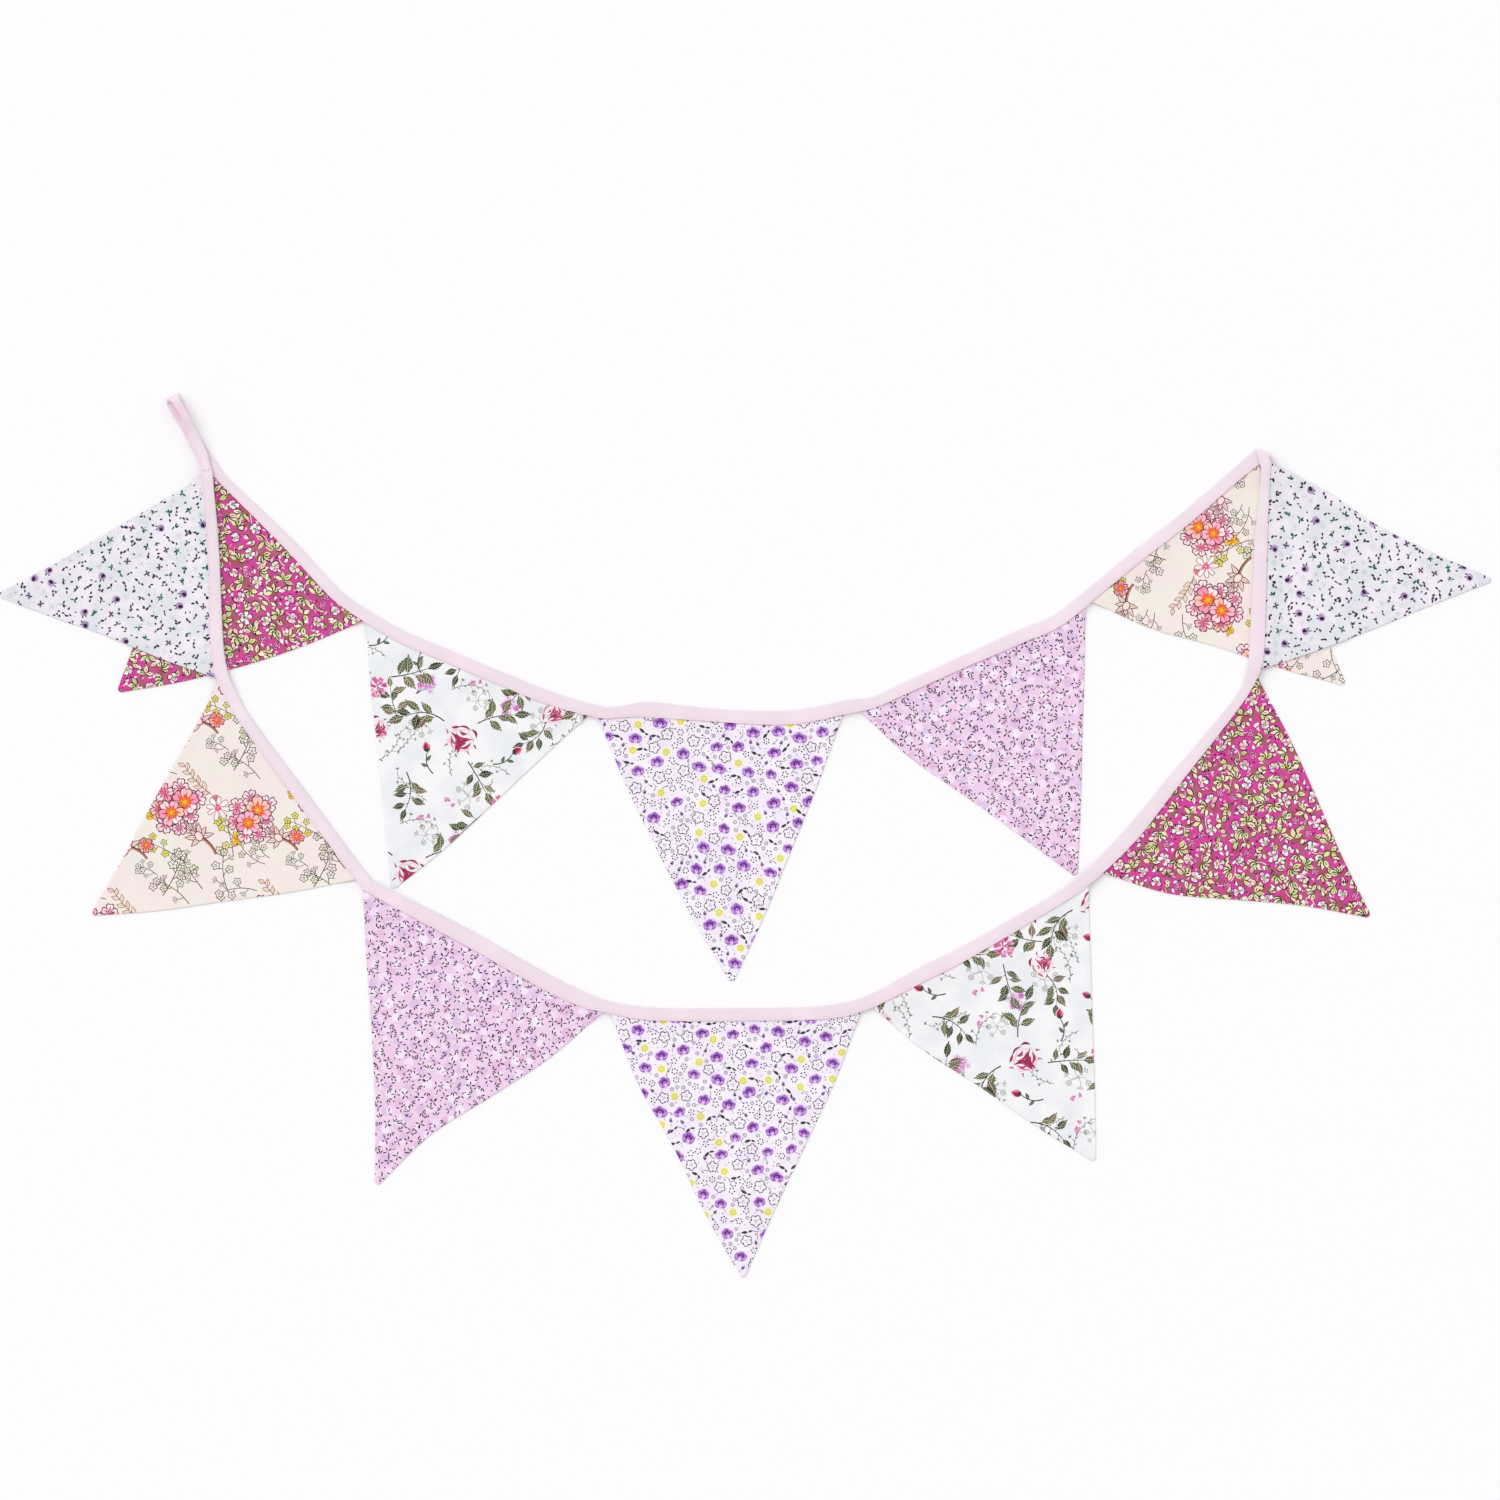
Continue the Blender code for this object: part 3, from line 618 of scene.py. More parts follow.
class Cloth:
    """A pennant's shape: its outline, and the height of its top and underside."""

    def __init__(self, flag, ribbon, ride, seed):
        self.flag = flag
        self.seed = seed
        self.side_a = side_points(flag, ribbon, 0)
        self.side_b = side_points(flag, ribbon, 1)
        start, end = head_span(flag, ribbon)
        places = np.linspace(start, end, 40)
        self.head = np.array([ribbon.place(w, 1.0).xy for w in places])
        self.tuck = [ribbon.place(w, 1 - TUCK).xy for w in places]
        edge = rounded_tip(self.side_a, self.side_b)
        self.edge = np.array(edge)
        self.outline = counter_clockwise(edge + self.tuck[::-1])
        self.ride = ride
        self.centre = self.outline.mean(0)
        a, b, tip = (np.array(p) for p in (flag.a, flag.b, flag.tip))
        self.along = (b - a) / np.linalg.norm(b - a)
        down = tip - (a + b) / 2
        self.down = down / np.linalg.norm(down)
        self.origin = (a + b) / 2
        self.length = float(np.linalg.norm(down))
        self.width = float(np.linalg.norm(b - a))

    def droop(self, points):
        """How much higher the cloth lies near the binding, whose slot holds it off the floor."""
        distance = polyline_distance(points, self.head)
        distance[inside(points, np.vstack([self.head, np.array(self.tuck)[::-1]]))] = 0
        return (TAPE_THICK - FLAG_THICK) / 2 * (1 - ease((distance - DROOP_START) / DROOP_RUN))

    def heights(self, points):
        """The underside's and the top's height at points."""
        low = self.ride(points) + self.droop(points)
        edge = polyline_distance(points, self.edge)
        head = polyline_distance(points, self.head)
        free = ease((head - FREE_START) / FREE_RUN)
        rounding = np.sqrt(np.clip(1 - (1 - np.clip(edge / ROLL, 0, 1)) ** 2, 0, 1))
        thick = FLAG_THICK * FILL
        top = low + thick * (0.5 + 0.5 * rounding)
        top -= SEAM_STEP * ease((edge - SEAM + 0.7) / 1.4) * free
        wave = ripple(points, self.seed, WAVES)
        top += wave * WAVE_HEIGHT * ease(edge / 12) * free
        pucker = ripple(points, self.seed + 50, PUCKERS)
        top += pucker * PUCKER_HEIGHT * reach(edge, 1.5, 5.0) * ease(edge / 1.2)
        under = low + thick * 0.5 * (1 - rounding)
        return np.maximum(under, 0.02), top


def flag_mesh(cloth, ground, drawing, material):
    """The closed cloth of a pennant, its top cut up along the shapes of its print."""
    outline = cloth.outline
    vertices = [tuple(p) for p in outline]
    edges = []
    faces = [list(range(len(outline)))]
    colours = [ground]

    for distance in RIM_LINES:
        for side in (cloth.side_a, cloth.side_b):
            line = inset(side, distance, cloth.centre)
            line = line[inside(line, outline)]
            first = len(vertices)
            vertices += [tuple(p) for p in line]
            edges += [(first + i, first + i + 1) for i in range(len(line) - 1)]

    low, high = outline.min(0), outline.max(0)
    xs = np.arange(low[0], high[0], GRID)
    ys = np.arange(low[1], high[1], GRID)
    grid = np.array([(x + (j % 2) * GRID / 2, y) for j, y in enumerate(ys) for x in xs])
    grid = grid[inside(grid, outline)]
    grid = grid[polyline_distance(grid, cloth.edge) > GRID_IN]
    vertices += [tuple(p) for p in grid]

    for shape, colour in drawing:
        first = len(vertices)
        shape = counter_clockwise(shape)
        vertices += [tuple(p) for p in shape]
        faces.append(list(range(first, first + len(shape))))
        colours.append(colour)

    found, _, triangles, _, _, sources = delaunay_2d_cdt(
        [Vector(v) for v in vertices], edges, faces, 1, 1e-5, True)
    kept, paints = [], []
    for triangle, source in zip(triangles, sources):
        if 0 in source:
            kept.append(triangle)
            paints.append(colours[max(source)])
    used = sorted({i for t in kept for i in t})
    number = {old: new for new, old in enumerate(used)}
    plan = np.array([found[i] for i in used])
    kept = [[number[i] for i in t] for t in kept]

    # The rim, in order: the sides of triangles that have no other triangle behind them.
    follow, tint_at, sides = {}, {}, {}
    for t, tint in zip(kept, paints):
        for i in range(3):
            sides[(t[i], t[(i + 1) % 3])] = tint
    for (a, b), tint in sides.items():
        if (b, a) not in sides:
            follow[a] = b
            tint_at[a] = tint
    start = next(iter(follow))
    rim = [start]
    while follow[rim[-1]] != start:
        rim.append(follow[rim[-1]])
        if len(rim) > len(follow):
            raise RuntimeError("the rim of %s doesn't close" % cloth.flag.name)

    _, top = cloth.heights(plan)
    points = [(*p, z) for p, z in zip(plan, top)]

    # The underside, coarser, on the same rim.
    coarse = grid[::3]
    rim_plan = [Vector(plan[i]) for i in rim]
    count = len(rim)
    base, _, base_faces, base_sources, _, base_of = delaunay_2d_cdt(
        rim_plan + [Vector(p) for p in coarse], [], [list(range(count))], 1, 1e-7, True)
    base_plan = np.array([tuple(p) for p in base])
    base_low, _ = cloth.heights(base_plan)
    offset = len(points)
    points += [(*p, z) for p, z in zip(base_plan, base_low)]
    place = {}
    for new, olds in enumerate(base_sources):
        for old in olds:
            place[old] = offset + new
    for t, source in zip(base_faces, base_of):
        if 0 in source:
            kept.append([offset + i for i in t][::-1])
            paints.append(ground)
    for k, a in enumerate(rim):
        b = rim[(k + 1) % count]
        kept.append([b, a, place[k], place[(k + 1) % count]])
        paints.append(tint_at[a])
    return link(cloth.flag.name + "_cloth", points, kept, material, paints)


# ---------------------------------------------------------------- the binding

STITCH_IN = 1.15             # the stitching runs this far inside the open edge
STITCH = 2.1
STITCH_PITCH = 2.9
STITCH_WIDE, STITCH_HIGH = 0.42, 0.22
TAPE_STEP = 3.2
WIDTH_DRIFT, RUFFLE, BELLY, TINT_DRIFT = 0.12, 0.07, 0.05, 0.03   # how strong each is
# Unevenness along the binding: how many random values, and how far apart.
RUFFLES, DRIFT, EDGE_WAVE = (1400, 2.3), (300, 17.0), (900, 6.1)


def densify(stations, step):
    """Stations with straight steps filled in, so that none is longer than step."""
    result = [stations[0]]
    for a, b in zip(stations, stations[1:]):
        far = max((b.outer - a.outer).length, (b.inner - a.inner).length)
        count = max(1, math.ceil(far / step))
        for k in range(1, count + 1):
            t = k / count
            if k == count:
                result.append(b)
                continue
            face = a.face.lerp(b.face, t)
            face = face.normalized() if face.length > 0.1 else a.face
            result.append(Station(a.outer.lerp(b.outer, t), a.inner.lerp(b.inner, t), face,
                                  a.thick + (b.thick - a.thick) * t,
                                  a.slot + (b.slot - a.slot) * t,
                                  a.depth + (b.depth - a.depth) * t))
    return result


def contour(width, thick, slot, depth, pucker, belly):
    """The binding's cross-section: (distance from the fold, height) all the way round."""
    half = thick / 2
    gap = slot / 2
    k = thick / TAPE_THICK
    upper = [
        (width, gap + 0.06),
        (width + 0.01, half - 0.20 * k),
        (width - 0.16, half - 0.05 * k + pucker * 0.4),
        (width - 0.65, half - 0.06 * k + pucker),
        (width - STITCH_IN, half - 0.22 * k + pucker * 0.6),
        (width - 1.7, half - 0.08 * k + pucker),
        (width - 2.6, half - 0.02 * k + pucker * 0.7),
        (width * 0.55, half + belly * k),
        (width * 0.3, half - 0.01 * k + belly * k),
        (1.0, half - 0.07 * k),
        (0.4, half - 0.30 * k),
        (0.1, half - 0.80 * k),
    ]
    lower = [(a, -h) for a, h in upper[::-1]]
    return upper + [(0.0, 0.0)] + lower + [(width - depth, -gap), (width - depth, gap)]


def tape_mesh(chain, material):
    """The binding's cloth, its stations, and how far along the tape each of them is."""
    stations = densify(chain, TAPE_STEP)
    rng = random.Random(11)
    ruffle, slow, edge_wave = (wander(rng, *sizes) for sizes in (RUFFLES, DRIFT, EDGE_WAVE))
    points, paints, travel = [], [], []
    travelled = 0.0
    last = stations[0]
    rose, pale, grey = tints("f1d9e5 efdfe8 e9dfe6")
    for station in stations:
        travelled += (station.outer.lerp(station.inner, 0.5)
                      - last.outer.lerp(last.inner, 0.5)).length
        last = station
        travel.append(travelled)
        at = np.array([travelled])
        span = station.inner - station.outer
        width = span.length + WIDTH_DRIFT * float(edge_wave(at)[0])
        reach_in = span.normalized()
        pucker = RUFFLE * float(ruffle(at)[0]) * min(1.0, station.thick / TAPE_THICK)
        belly = -0.02 + BELLY * float(slow(at)[0])
        ring = contour(width, station.thick, station.slot, station.depth, pucker, belly)
        for a, h in ring:
            points.append(station.outer + reach_in * a + station.face * h)
            share = a / width
            # Greyer towards the fold: painted shade where the rounded fold rolls away from the
            # light. Rosier towards the open edge.
            edge = max(0.0, 1 - share * 4.0)
            near = max(0.0, (share - 0.62) / 0.38)
            tint = np.array(pale) * (1 - edge) + np.array(grey) * edge
            tint = tint * (1 - near * 0.8) + np.array(rose) * near * 0.8
            # Painted shade: where the inside of the loop's eye shows, the tint turns darker and a
            # deeper pink.
            away = (points[-1].xy - Vector(EYE_PAINTED_SHADE[0])).length / EYE_PAINTED_SHADE[1]
            tint = tint * (1 - np.array((0.02, 0.16, 0.09)) * math.exp(-away * away))
            paints.append(tint * (1 + TINT_DRIFT * float(slow(at + 40)[0])))
    size = len(ring)
    faces = []
    for i in range(len(stations) - 1):
        a, b = i * size, (i + 1) * size
        for k in range(size):
            m = (k + 1) % size
            faces.append([a + k, a + m, b + m, b + k])
    last_ring = (len(stations) - 1) * size
    faces.append(list(range(size))[::-1])
    faces.append([last_ring + k for k in range(size)])
    item = link("tape_cloth", [tuple(p) for p in points], faces, material)
    # The binding's tints, painted shade at the fold and inside the loop's eye included, go in the
    # same print attribute that carries the pennants' print.
    layer = item.data.color_attributes.new(name="print", type="FLOAT_COLOR", domain="POINT")
    rgba = np.ones((len(points), 4))
    rgba[:, :3] = np.array(paints)
    layer.data.foreach_set("color", rgba.ravel())
    return item, stations, travel


def bead(start, end, up, width, height):
    """A small rounded thread between two points: vertices and faces."""
    ahead = end - start
    side = up.cross(ahead).normalized()
    rows = ((0.0, 0.35, -0.4), (0.22, 1.0, 0.75), (0.78, 1.0, 0.75), (1.0, 0.35, -0.4))
    points, faces = [], []
    for t, wide, high in rows:
        centre = start + ahead * t
        for s, h in ((-1, -0.8), (-0.62, 0.55), (0.0, 1.0), (0.62, 0.55), (1, -0.8)):
            lift = height * (high if h > 0 else -0.8)
            points.append(centre + side * (s * width / 2 * wide) + up * (lift * abs(h)))
    for i in range(3):
        for k in range(5):
            m = (k + 1) % 5
            faces.append([i * 5 + k, i * 5 + m, (i + 1) * 5 + m, (i + 1) * 5 + k])
    faces.append([4, 3, 2, 1, 0])
    faces.append([15, 16, 17, 18, 19])
    return points, faces


def stitching(stations, travel, material):
    """The row of stitches along the open edge, on the side that faces up."""
    points, faces = [], []
    travel = np.array(travel)
    rng = random.Random(5)

    def on_tape(distance):
        i = int(np.clip(np.searchsorted(travel, distance) - 1, 0, len(stations) - 2))
        a, b = stations[i], stations[i + 1]
        if abs(a.face.z) < 0.9 or abs(b.face.z) < 0.9:
            return None
        t = (distance - travel[i]) / max(1e-6, travel[i + 1] - travel[i])
        outer, inner = a.outer.lerp(b.outer, t), a.inner.lerp(b.inner, t)
        thick = a.thick + (b.thick - a.thick) * t
        reach_in = (inner - outer).normalized()
        return inner - reach_in * STITCH_IN + UP * (thick / 2 - 0.18 * thick / TAPE_THICK)

    distance = 3.0
    while distance < travel[-1] - 3:
        start = on_tape(distance)
        end = on_tape(distance + STITCH * rng.uniform(0.92, 1.08))
        if start is not None and end is not None and 0.8 < (end - start).length < 3.2:
            new, rows = bead(start, end, UP, STITCH_WIDE, STITCH_HIGH)
            faces += [[len(points) + i for i in f] for f in rows]
            points += new
        distance += STITCH_PITCH * rng.uniform(0.96, 1.04)
    return link("tape_stitching", [tuple(p) for p in points], faces, material)


# ---------------------------------------------------------------- drawing tools for the prints

FIFTH = 1.257                # a fifth of a turn
TURN = 6.283                 # a whole turn
ROUND = 6.3                  # any direction: a whole turn and a little more


def polar(radius, angle):
    return radius * cos(angle), radius * sin(angle)


def turned(shapes, at=(0.0, 0.0), angle=0.0, size=1.0):
    """Shapes turned about the origin, scaled and moved."""
    c, s = cos(angle) * size, sin(angle) * size
    x0, y0 = at
    return [([(x * c - y * s + x0, x * s + y * c + y0) for x, y in points], colour)
            for points, colour in shapes]


def mixed(a, b, t):
    return tuple(x * (1 - t) + y * t for x, y in zip(a, b))


def disc(radius, count=8, flat=1.0, rng=None, wobble=0.0):
    points = []
    for k in range(count):
        angle = 2 * pi * k / count
        r = radius * (1 + (rng.uniform(-wobble, wobble) if rng else 0.0))
        points.append((r * cos(angle), r * flat * sin(angle)))
    return points


def lobed(radius, lobes, depth, steps=4, phase=0.0):
    """A round shape with lobes: a small flower seen as a whole."""
    count = lobes * steps
    points = []
    for k in range(count):
        angle = 2 * pi * k / count
        r = radius * (1 - depth * (0.5 - 0.5 * cos(lobes * angle)))
        points.append((r * cos(angle + phase), r * sin(angle + phase)))
    return points


def blade(length, width, count=3, widest=0.45, bend=0.0):
    """A leaf, pointed at both ends, from (0, 0) along +y."""
    power = math.log(0.5) / math.log(widest)
    right, left = [], []
    for k in range(1, count + 1):
        t = k / (count + 1)
        w = width / 2 * sin(pi * t ** power)
        x = bend * sin(pi * t)
        right.append((x + w, t * length))
        left.append((x - w, t * length))
    return [(0.0, 0.0)] + right + [(0.0, length)] + left[::-1]


# A petal's half width at shares of its length.
PETAL = ((0.0, 0.10), (0.25, 0.52), (0.5, 0.88), (0.72, 1.0), (0.88, 0.86), (0.98, 0.46))


def petal(length, width, notch=0.1, start=0.0):
    """A petal with a round, slightly notched end, from (0, start) along +y."""
    right = [(width / 2 * w, start + t * (length - start)) for t, w in PETAL]
    left = [(-x, y) for x, y in right[::-1]]
    return right + [(0.0, length * (1 - notch))] + left


def stroke(points, width, start=1.0, end=0.4):
    """A line of the given width, tapering."""
    last = len(points) - 1
    left, right = [], []
    for i, (x, y) in enumerate(points):
        ax = points[min(i + 1, last)][0] - points[max(i - 1, 0)][0]
        ay = points[min(i + 1, last)][1] - points[max(i - 1, 0)][1]
        size = math.hypot(ax, ay) or 1.0
        w = width / 2 * (start + (end - start) * i / last)
        left.append((x - ay / size * w, y + ax / size * w))
        right.append((x + ay / size * w, y - ax / size * w))
    return left + right[::-1]


def bow(x0, y0, x1, y1, bulge, count=5):
    """Points on a curve from one place to another, bulging to the left."""
    dx, dy = x1 - x0, y1 - y0
    points = []
    for k in range(count):
        t = k / (count - 1)
        lift = 4 * t * (1 - t) * bulge
        points.append((x0 + dx * t - dy * lift, y0 + dy * t + dx * lift))
    return points


def at_share(points, t):
    """The place and direction a share t along a polyline."""
    place = t * (len(points) - 1)
    i = min(len(points) - 2, int(place))
    t = place - i
    (x0, y0), (x1, y1) = points[i], points[i + 1]
    return (x0 + (x1 - x0) * t, y0 + (y1 - y0) * t), math.atan2(y1 - y0, x1 - x0)


DECIMETRE = 100.0
TRIES = 14                   # how many places are tried for each item that is wanted


class Field:
    """The part of the fabric that a pennant is cut from, in the fabric's own directions."""

    def __init__(self, cloth, turn_by, shift):
        up = -cloth.down
        angle = math.atan2(up[1], up[0]) - pi / 2 + math.radians(turn_by)
        self.ex = np.array([cos(angle), sin(angle)])
        self.ey = np.array([-sin(angle), cos(angle)])
        self.origin = cloth.origin - self.ex * shift[0] - self.ey * shift[1]
        off = cloth.outline - self.origin
        self.outline = np.stack([off @ self.ex, off @ self.ey], 1)
        self.ring = np.vstack([self.outline, self.outline[:1]])
        self.low, self.high = self.outline.min(0), self.outline.max(0)

    def near(self, points, margin):
        """Which points are inside the piece, or within margin of it."""
        points = np.asarray(points, float)
        return inside(points, self.outline) | (polyline_distance(points, self.ring) < margin)

    def plan(self, shapes):
        """Shapes from the fabric's directions in those of the layout."""
        result = []
        for points, colour in shapes:
            p = np.asarray(points)
            result.append((self.origin + p[:, :1] * self.ex + p[:, 1:] * self.ey, colour))
        return result

    def pack(self, rng, kinds, margin=3.0):
        """Places for items of several sizes that keep clear of each other, largest first.
        kinds: (name, radius, how many per square decimetre, distance from its own kind)."""
        cell = 2 * max(max(k[1], k[3] / 2 if len(k) > 3 else 0) for k in kinds)
        cells = {}
        placed = []
        low, high = self.low - margin, self.high + margin
        area = (high[0] - low[0]) * (high[1] - low[1]) / DECIMETRE ** 2
        for name, radius, per_area, *rest in kinds:
            apart = rest[0] if rest else 0.0
            wanted = round(per_area * area)
            got = 0
            for _ in range(wanted * TRIES):
                if got >= wanted:
                    break
                x, y = rng.uniform(low[0], high[0]), rng.uniform(low[1], high[1])
                i, j = int(x // cell), int(y // cell)
                around = [item for di in (-1, 0, 1) for dj in (-1, 0, 1)
                          for item in cells.get((i + di, j + dj), ())]
                if all((px - x) ** 2 + (py - y) ** 2
                       >= max(pr + radius, apart if kind == name else 0.0) ** 2
                       for px, py, pr, kind in around):
                    cells.setdefault((i, j), []).append((x, y, radius, name))
                    placed.append((name, x, y))
                    got += 1
        keep = self.near([(x, y) for _, x, y in placed], margin)
        return [p for p, k in zip(placed, keep) if k]

    def tile(self, chart, width, height, drop, margin):
        """Every repeat of a chart of (item number, x, y) that touches the piece."""
        found = []
        for i in range(math.floor((self.low[0] - margin) / width) - 1,
                       math.ceil((self.high[0] + margin) / width) + 1):
            for j in range(math.floor((self.low[1] - margin) / height) - 2,
                           math.ceil((self.high[1] + margin) / height) + 2):
                for number, (x, y) in enumerate(chart):
                    found.append((number, x + i * width, y + j * height + (i % 2) * drop))
        keep = self.near([(x, y) for _, x, y in found], margin)
        return [f for f, k in zip(found, keep) if k]


# ---------------------------------------------------------------- berry: leaves on magenta

def berry_print(field, rng):
    shapes = []
    browns = tints("b05c78 b86280 a8566a ae5c70")
    cream = tints("fbf0e0 fbf3d4 fae4de f6efc8")
    lime = tints("f2efbc e8eaa4 e0e592 f5eecb c4d873 b2cf5e")
    dark = tints("38421f 2a321c 47522a 2a1c22")
    green = tints("7ccb4e 6ab946 93d25c")
    white = tints("fff4f9 fce8f2 fffafa fcf2e6")
    pink = tints("f7b0d8 ef8cc6 fac9e3 e96fb4")
    shadow = tints("5c2434 4a2c26 6c1c42 3a1c22")
    black, plum = tints("26141f 7c1c50")

    def leaf(length, width):
        made = turned([(blade(length + 1.6, width + 1.7, 2), rng.choice(shadow))], (0.75, -0.5))
        made += [(blade(length + 1.1, width + 1.0), rng.choice(cream)),
                 (blade(length + 0.3, width - 0.1), rng.choice(lime))]
        if rng.random() < 0.6:
            made += turned([(blade(length * 0.6, width * 0.36, 2), rng.choice(dark))],
                           (rng.uniform(-0.3, 0.3), 0.3 + length * 0.16))
        return made

    kinds = [("flower", 4.9, 20, 13), ("rose", 3.8, 8), ("spray", 4.7, 52), ("single", 2.5, 44),
             ("petal", 1.9, 210), ("tick", 1.15, 200)]
    items = field.pack(rng, kinds, 6)
    for name, x, y in items:
        if name in ("spray", "single"):
            size = rng.uniform(5.4, 8.4) if name == "spray" else rng.uniform(3.0, 4.8)
            shapes += turned([(disc(size, 9, 0.75, rng, 0.3), rng.choice(browns))], (x, y),
                             rng.uniform(0, ROUND))
    for _, x, y in field.pack(rng, [("stem", 6.5, 22)], 4):
        line = bow(-6, 0, 6, 0, rng.uniform(-0.35, 0.35), 6)
        below = [(px + 0.3, py - 0.6) for px, py in line]
        shapes += turned([(stroke(below, 0.7), rng.choice(shadow)),
                          (stroke(line, 0.8), rng.choice(cream))], (x, y), rng.uniform(0, ROUND))
    order = {"spray": 0, "single": 1, "petal": 2, "rose": 3, "flower": 4, "tick": 5}
    for name, x, y in sorted(items, key=lambda p: order[p[0]]):
        turn_by = rng.uniform(0, 2 * pi)
        if name == "spray":
            count = rng.choice((3, 4, 4, 5))
            fan = rng.uniform(1.8, 3.4)
            for k in range(count):
                a = turn_by + (k / (count - 1) - 0.5) * fan
                length = rng.uniform(4.0, 6.8)
                shapes += turned(leaf(length, rng.uniform(1.5, 2.8)),
                                 (x + 1.6 * sin(turn_by) - 1.0 * sin(a),
                                  y - 1.6 * cos(turn_by) + 1.0 * cos(a)), a)
            if rng.random() < 0.5:
                shapes += turned([(blade(2.8, 1.6, 2), rng.choice(green)), (disc(0.5, 5), black)],
                                 (x, y), turn_by + rng.uniform(-1, 1))
        elif name == "single":
            shapes += turned(leaf(rng.uniform(3.6, 5.2), rng.uniform(1.5, 2.3)), (x, y - 1.5),
                             turn_by)
            if rng.random() < 0.4:
                shapes += turned(leaf(3.2, 1.5), (x, y), turn_by + 1.1)
        elif name == "petal":
            tint = rng.choice(pink[:3] + white)
            long, wide = rng.uniform(3.0, 5.4), rng.uniform(1.8, 3.0)
            shapes += turned([(blade(long + 0.9, wide + 0.8, 2, 0.62), rng.choice(shadow)),
                              (blade(long, wide, 2, 0.62, 0.3), tint)], (x, y), turn_by)
            if rng.random() < 0.3:
                shapes += turned([(disc(0.5, 5), black)], (x, y), 0)
        elif name == "rose":
            shapes += turned([(lobed(3.9, 5, 0.3), plum), (lobed(3.3, 5, 0.3), pink[1]),
                              (disc(2.0, 7, 1, rng, 0.2), plum), (disc(1.3, 6), pink[0]),
                              (disc(0.55, 5), black)], (x, y), turn_by)
            for k in range(3):
                shapes += turned([(stroke(bow(1.2, 0, 3.0, 1.8, 0.3), 0.6), black)], (x, y),
                                 turn_by + 2.1 * k)
        elif name == "flower":
            tint = rng.choice(white)
            petals = []
            for k in range(5):
                long = rng.uniform(3.2, 5.8)
                own = [(petal(long + 0.9, 4.0), rng.choice(shadow)),
                       (petal(long, 3.1, 0.15, 0.3), rng.choice([tint, tint, pink[2]]))]
                if rng.random() < 0.7:
                    own.append((stroke([(0.2, 1.2), (0.5, long * 0.75)], 0.6),
                                rng.choice([pink[1], plum])))
                petals += turned(own, (rng.uniform(-0.5, 0.5), rng.uniform(-0.5, 0.5)),
                                 k * FIFTH + rng.uniform(-0.4, 0.4))
            petals.append((disc(1.1, 6), rng.choice(green + [linear("e9d96a")])))
            for k in range(rng.choice((4, 5, 6))):
                a, r = rng.uniform(0, ROUND), rng.uniform(1.0, 3.0)
                petals += turned([(disc(0.5, 5), black)], polar(r, a))
            shapes += turned(petals, (x, y), turn_by)
        else:
            shapes += turned([(blade(rng.uniform(2.4, 4.2), rng.uniform(1.1, 1.6), 2),
                               rng.choice(dark[1:] + shadow + [black, black, plum]
                                          + white[:2] + pink[:2]))],
                             (x, y), turn_by)
    return shapes


# ---------------------------------------------------------------- lilac: ticks and pale blossoms

def lilac_print(field, rng):
    shapes = []
    deep = tints("e4c6e6 e2caea e8c2e1")
    for _, x, y in field.pack(rng, [("patch", 4.6, 60)], 7):
        shapes += turned([(lobed(rng.uniform(3.6, 5.6), 5, 0.25, 2), rng.choice(deep))], (x, y),
                         rng.uniform(0, ROUND))
    pale = tints("f6e6f8 f5e3f6 f8ebfa f3dff4")
    white = linear("fffafe")
    ink = tints("281f32 302638 20182a 382c3e")
    for _, x, y in field.pack(rng, [("bloom", 4.9, 66)], 7):
        size = rng.uniform(3.2, 5.0)
        shapes += turned([(lobed(size, rng.choice((4, 5, 5)), 0.3, 3), rng.choice(pale))], (x, y),
                         rng.uniform(0, ROUND))
        for _ in range(rng.choice((4, 6, 8))):
            a, r = rng.uniform(0, ROUND), rng.uniform(0.5, size * 1.1)
            shapes += turned([(disc(rng.uniform(0.35, 0.6), 4), white)],
                             (x + r * cos(a), y + r * sin(a)))

    def tick(angle, gap, length=None):
        length = length or rng.uniform(3.1, 4.1)
        return turned([(blade(length, rng.uniform(1.1, 1.25), 2, 0.55), rng.choice(ink))],
                      (-gap * sin(angle), gap * cos(angle)), angle)

    kinds = [("arc", 5.6, 9), ("cross", 3.5, 58), ("fan", 3.2, 74), ("pair", 2.5, 90),
             ("dot", 1.5, 100)]
    for name, x, y in field.pack(rng, kinds, 4):
        turn_by = rng.uniform(0, 2 * pi)
        group = []
        if name == "cross":
            for k in range(rng.choice((4, 4, 5, 3))):
                group += tick(k * 1.571 + rng.uniform(-0.25, 0.25), 0.5)
            if rng.random() < 0.5:
                group += [(stroke(bow(-3.4, 0, 3.4, 0, 0.05, 3), 0.6, 0.5, 0.5), ink[0])]
        elif name == "fan":
            for k in range(rng.choice((3, 3, 4))):
                group += tick(-0.8 + k * 0.75 + rng.uniform(-0.12, 0.12), 0.7)
        elif name == "pair":
            spread = rng.uniform(0.5, 1.9)
            group += tick(-spread / 2, 0.5) + tick(spread / 2, 0.5)
        elif name == "arc":
            count = rng.choice((5, 6, 7))
            for k in range(count):
                group += tick(-1.1 + k * 2.2 / (count - 1), 3.2, 2.3)
            group += tick(0.3, 0.3) + tick(2.4, 0.3) + tick(4.4, 0.3)
        else:
            group += tick(0.0, 0.0, rng.uniform(1.3, 2.0))
        shapes += turned(group, (x, y), turn_by)
    return shapes


# ---------------------------------------------------------------- poppy

def dash(length, width, colour, at, angle):
    x, y = length / 2, width / 2
    return turned([([(-x, -y), (x, -y), (x, y), (-x, y)], colour)], at, angle)


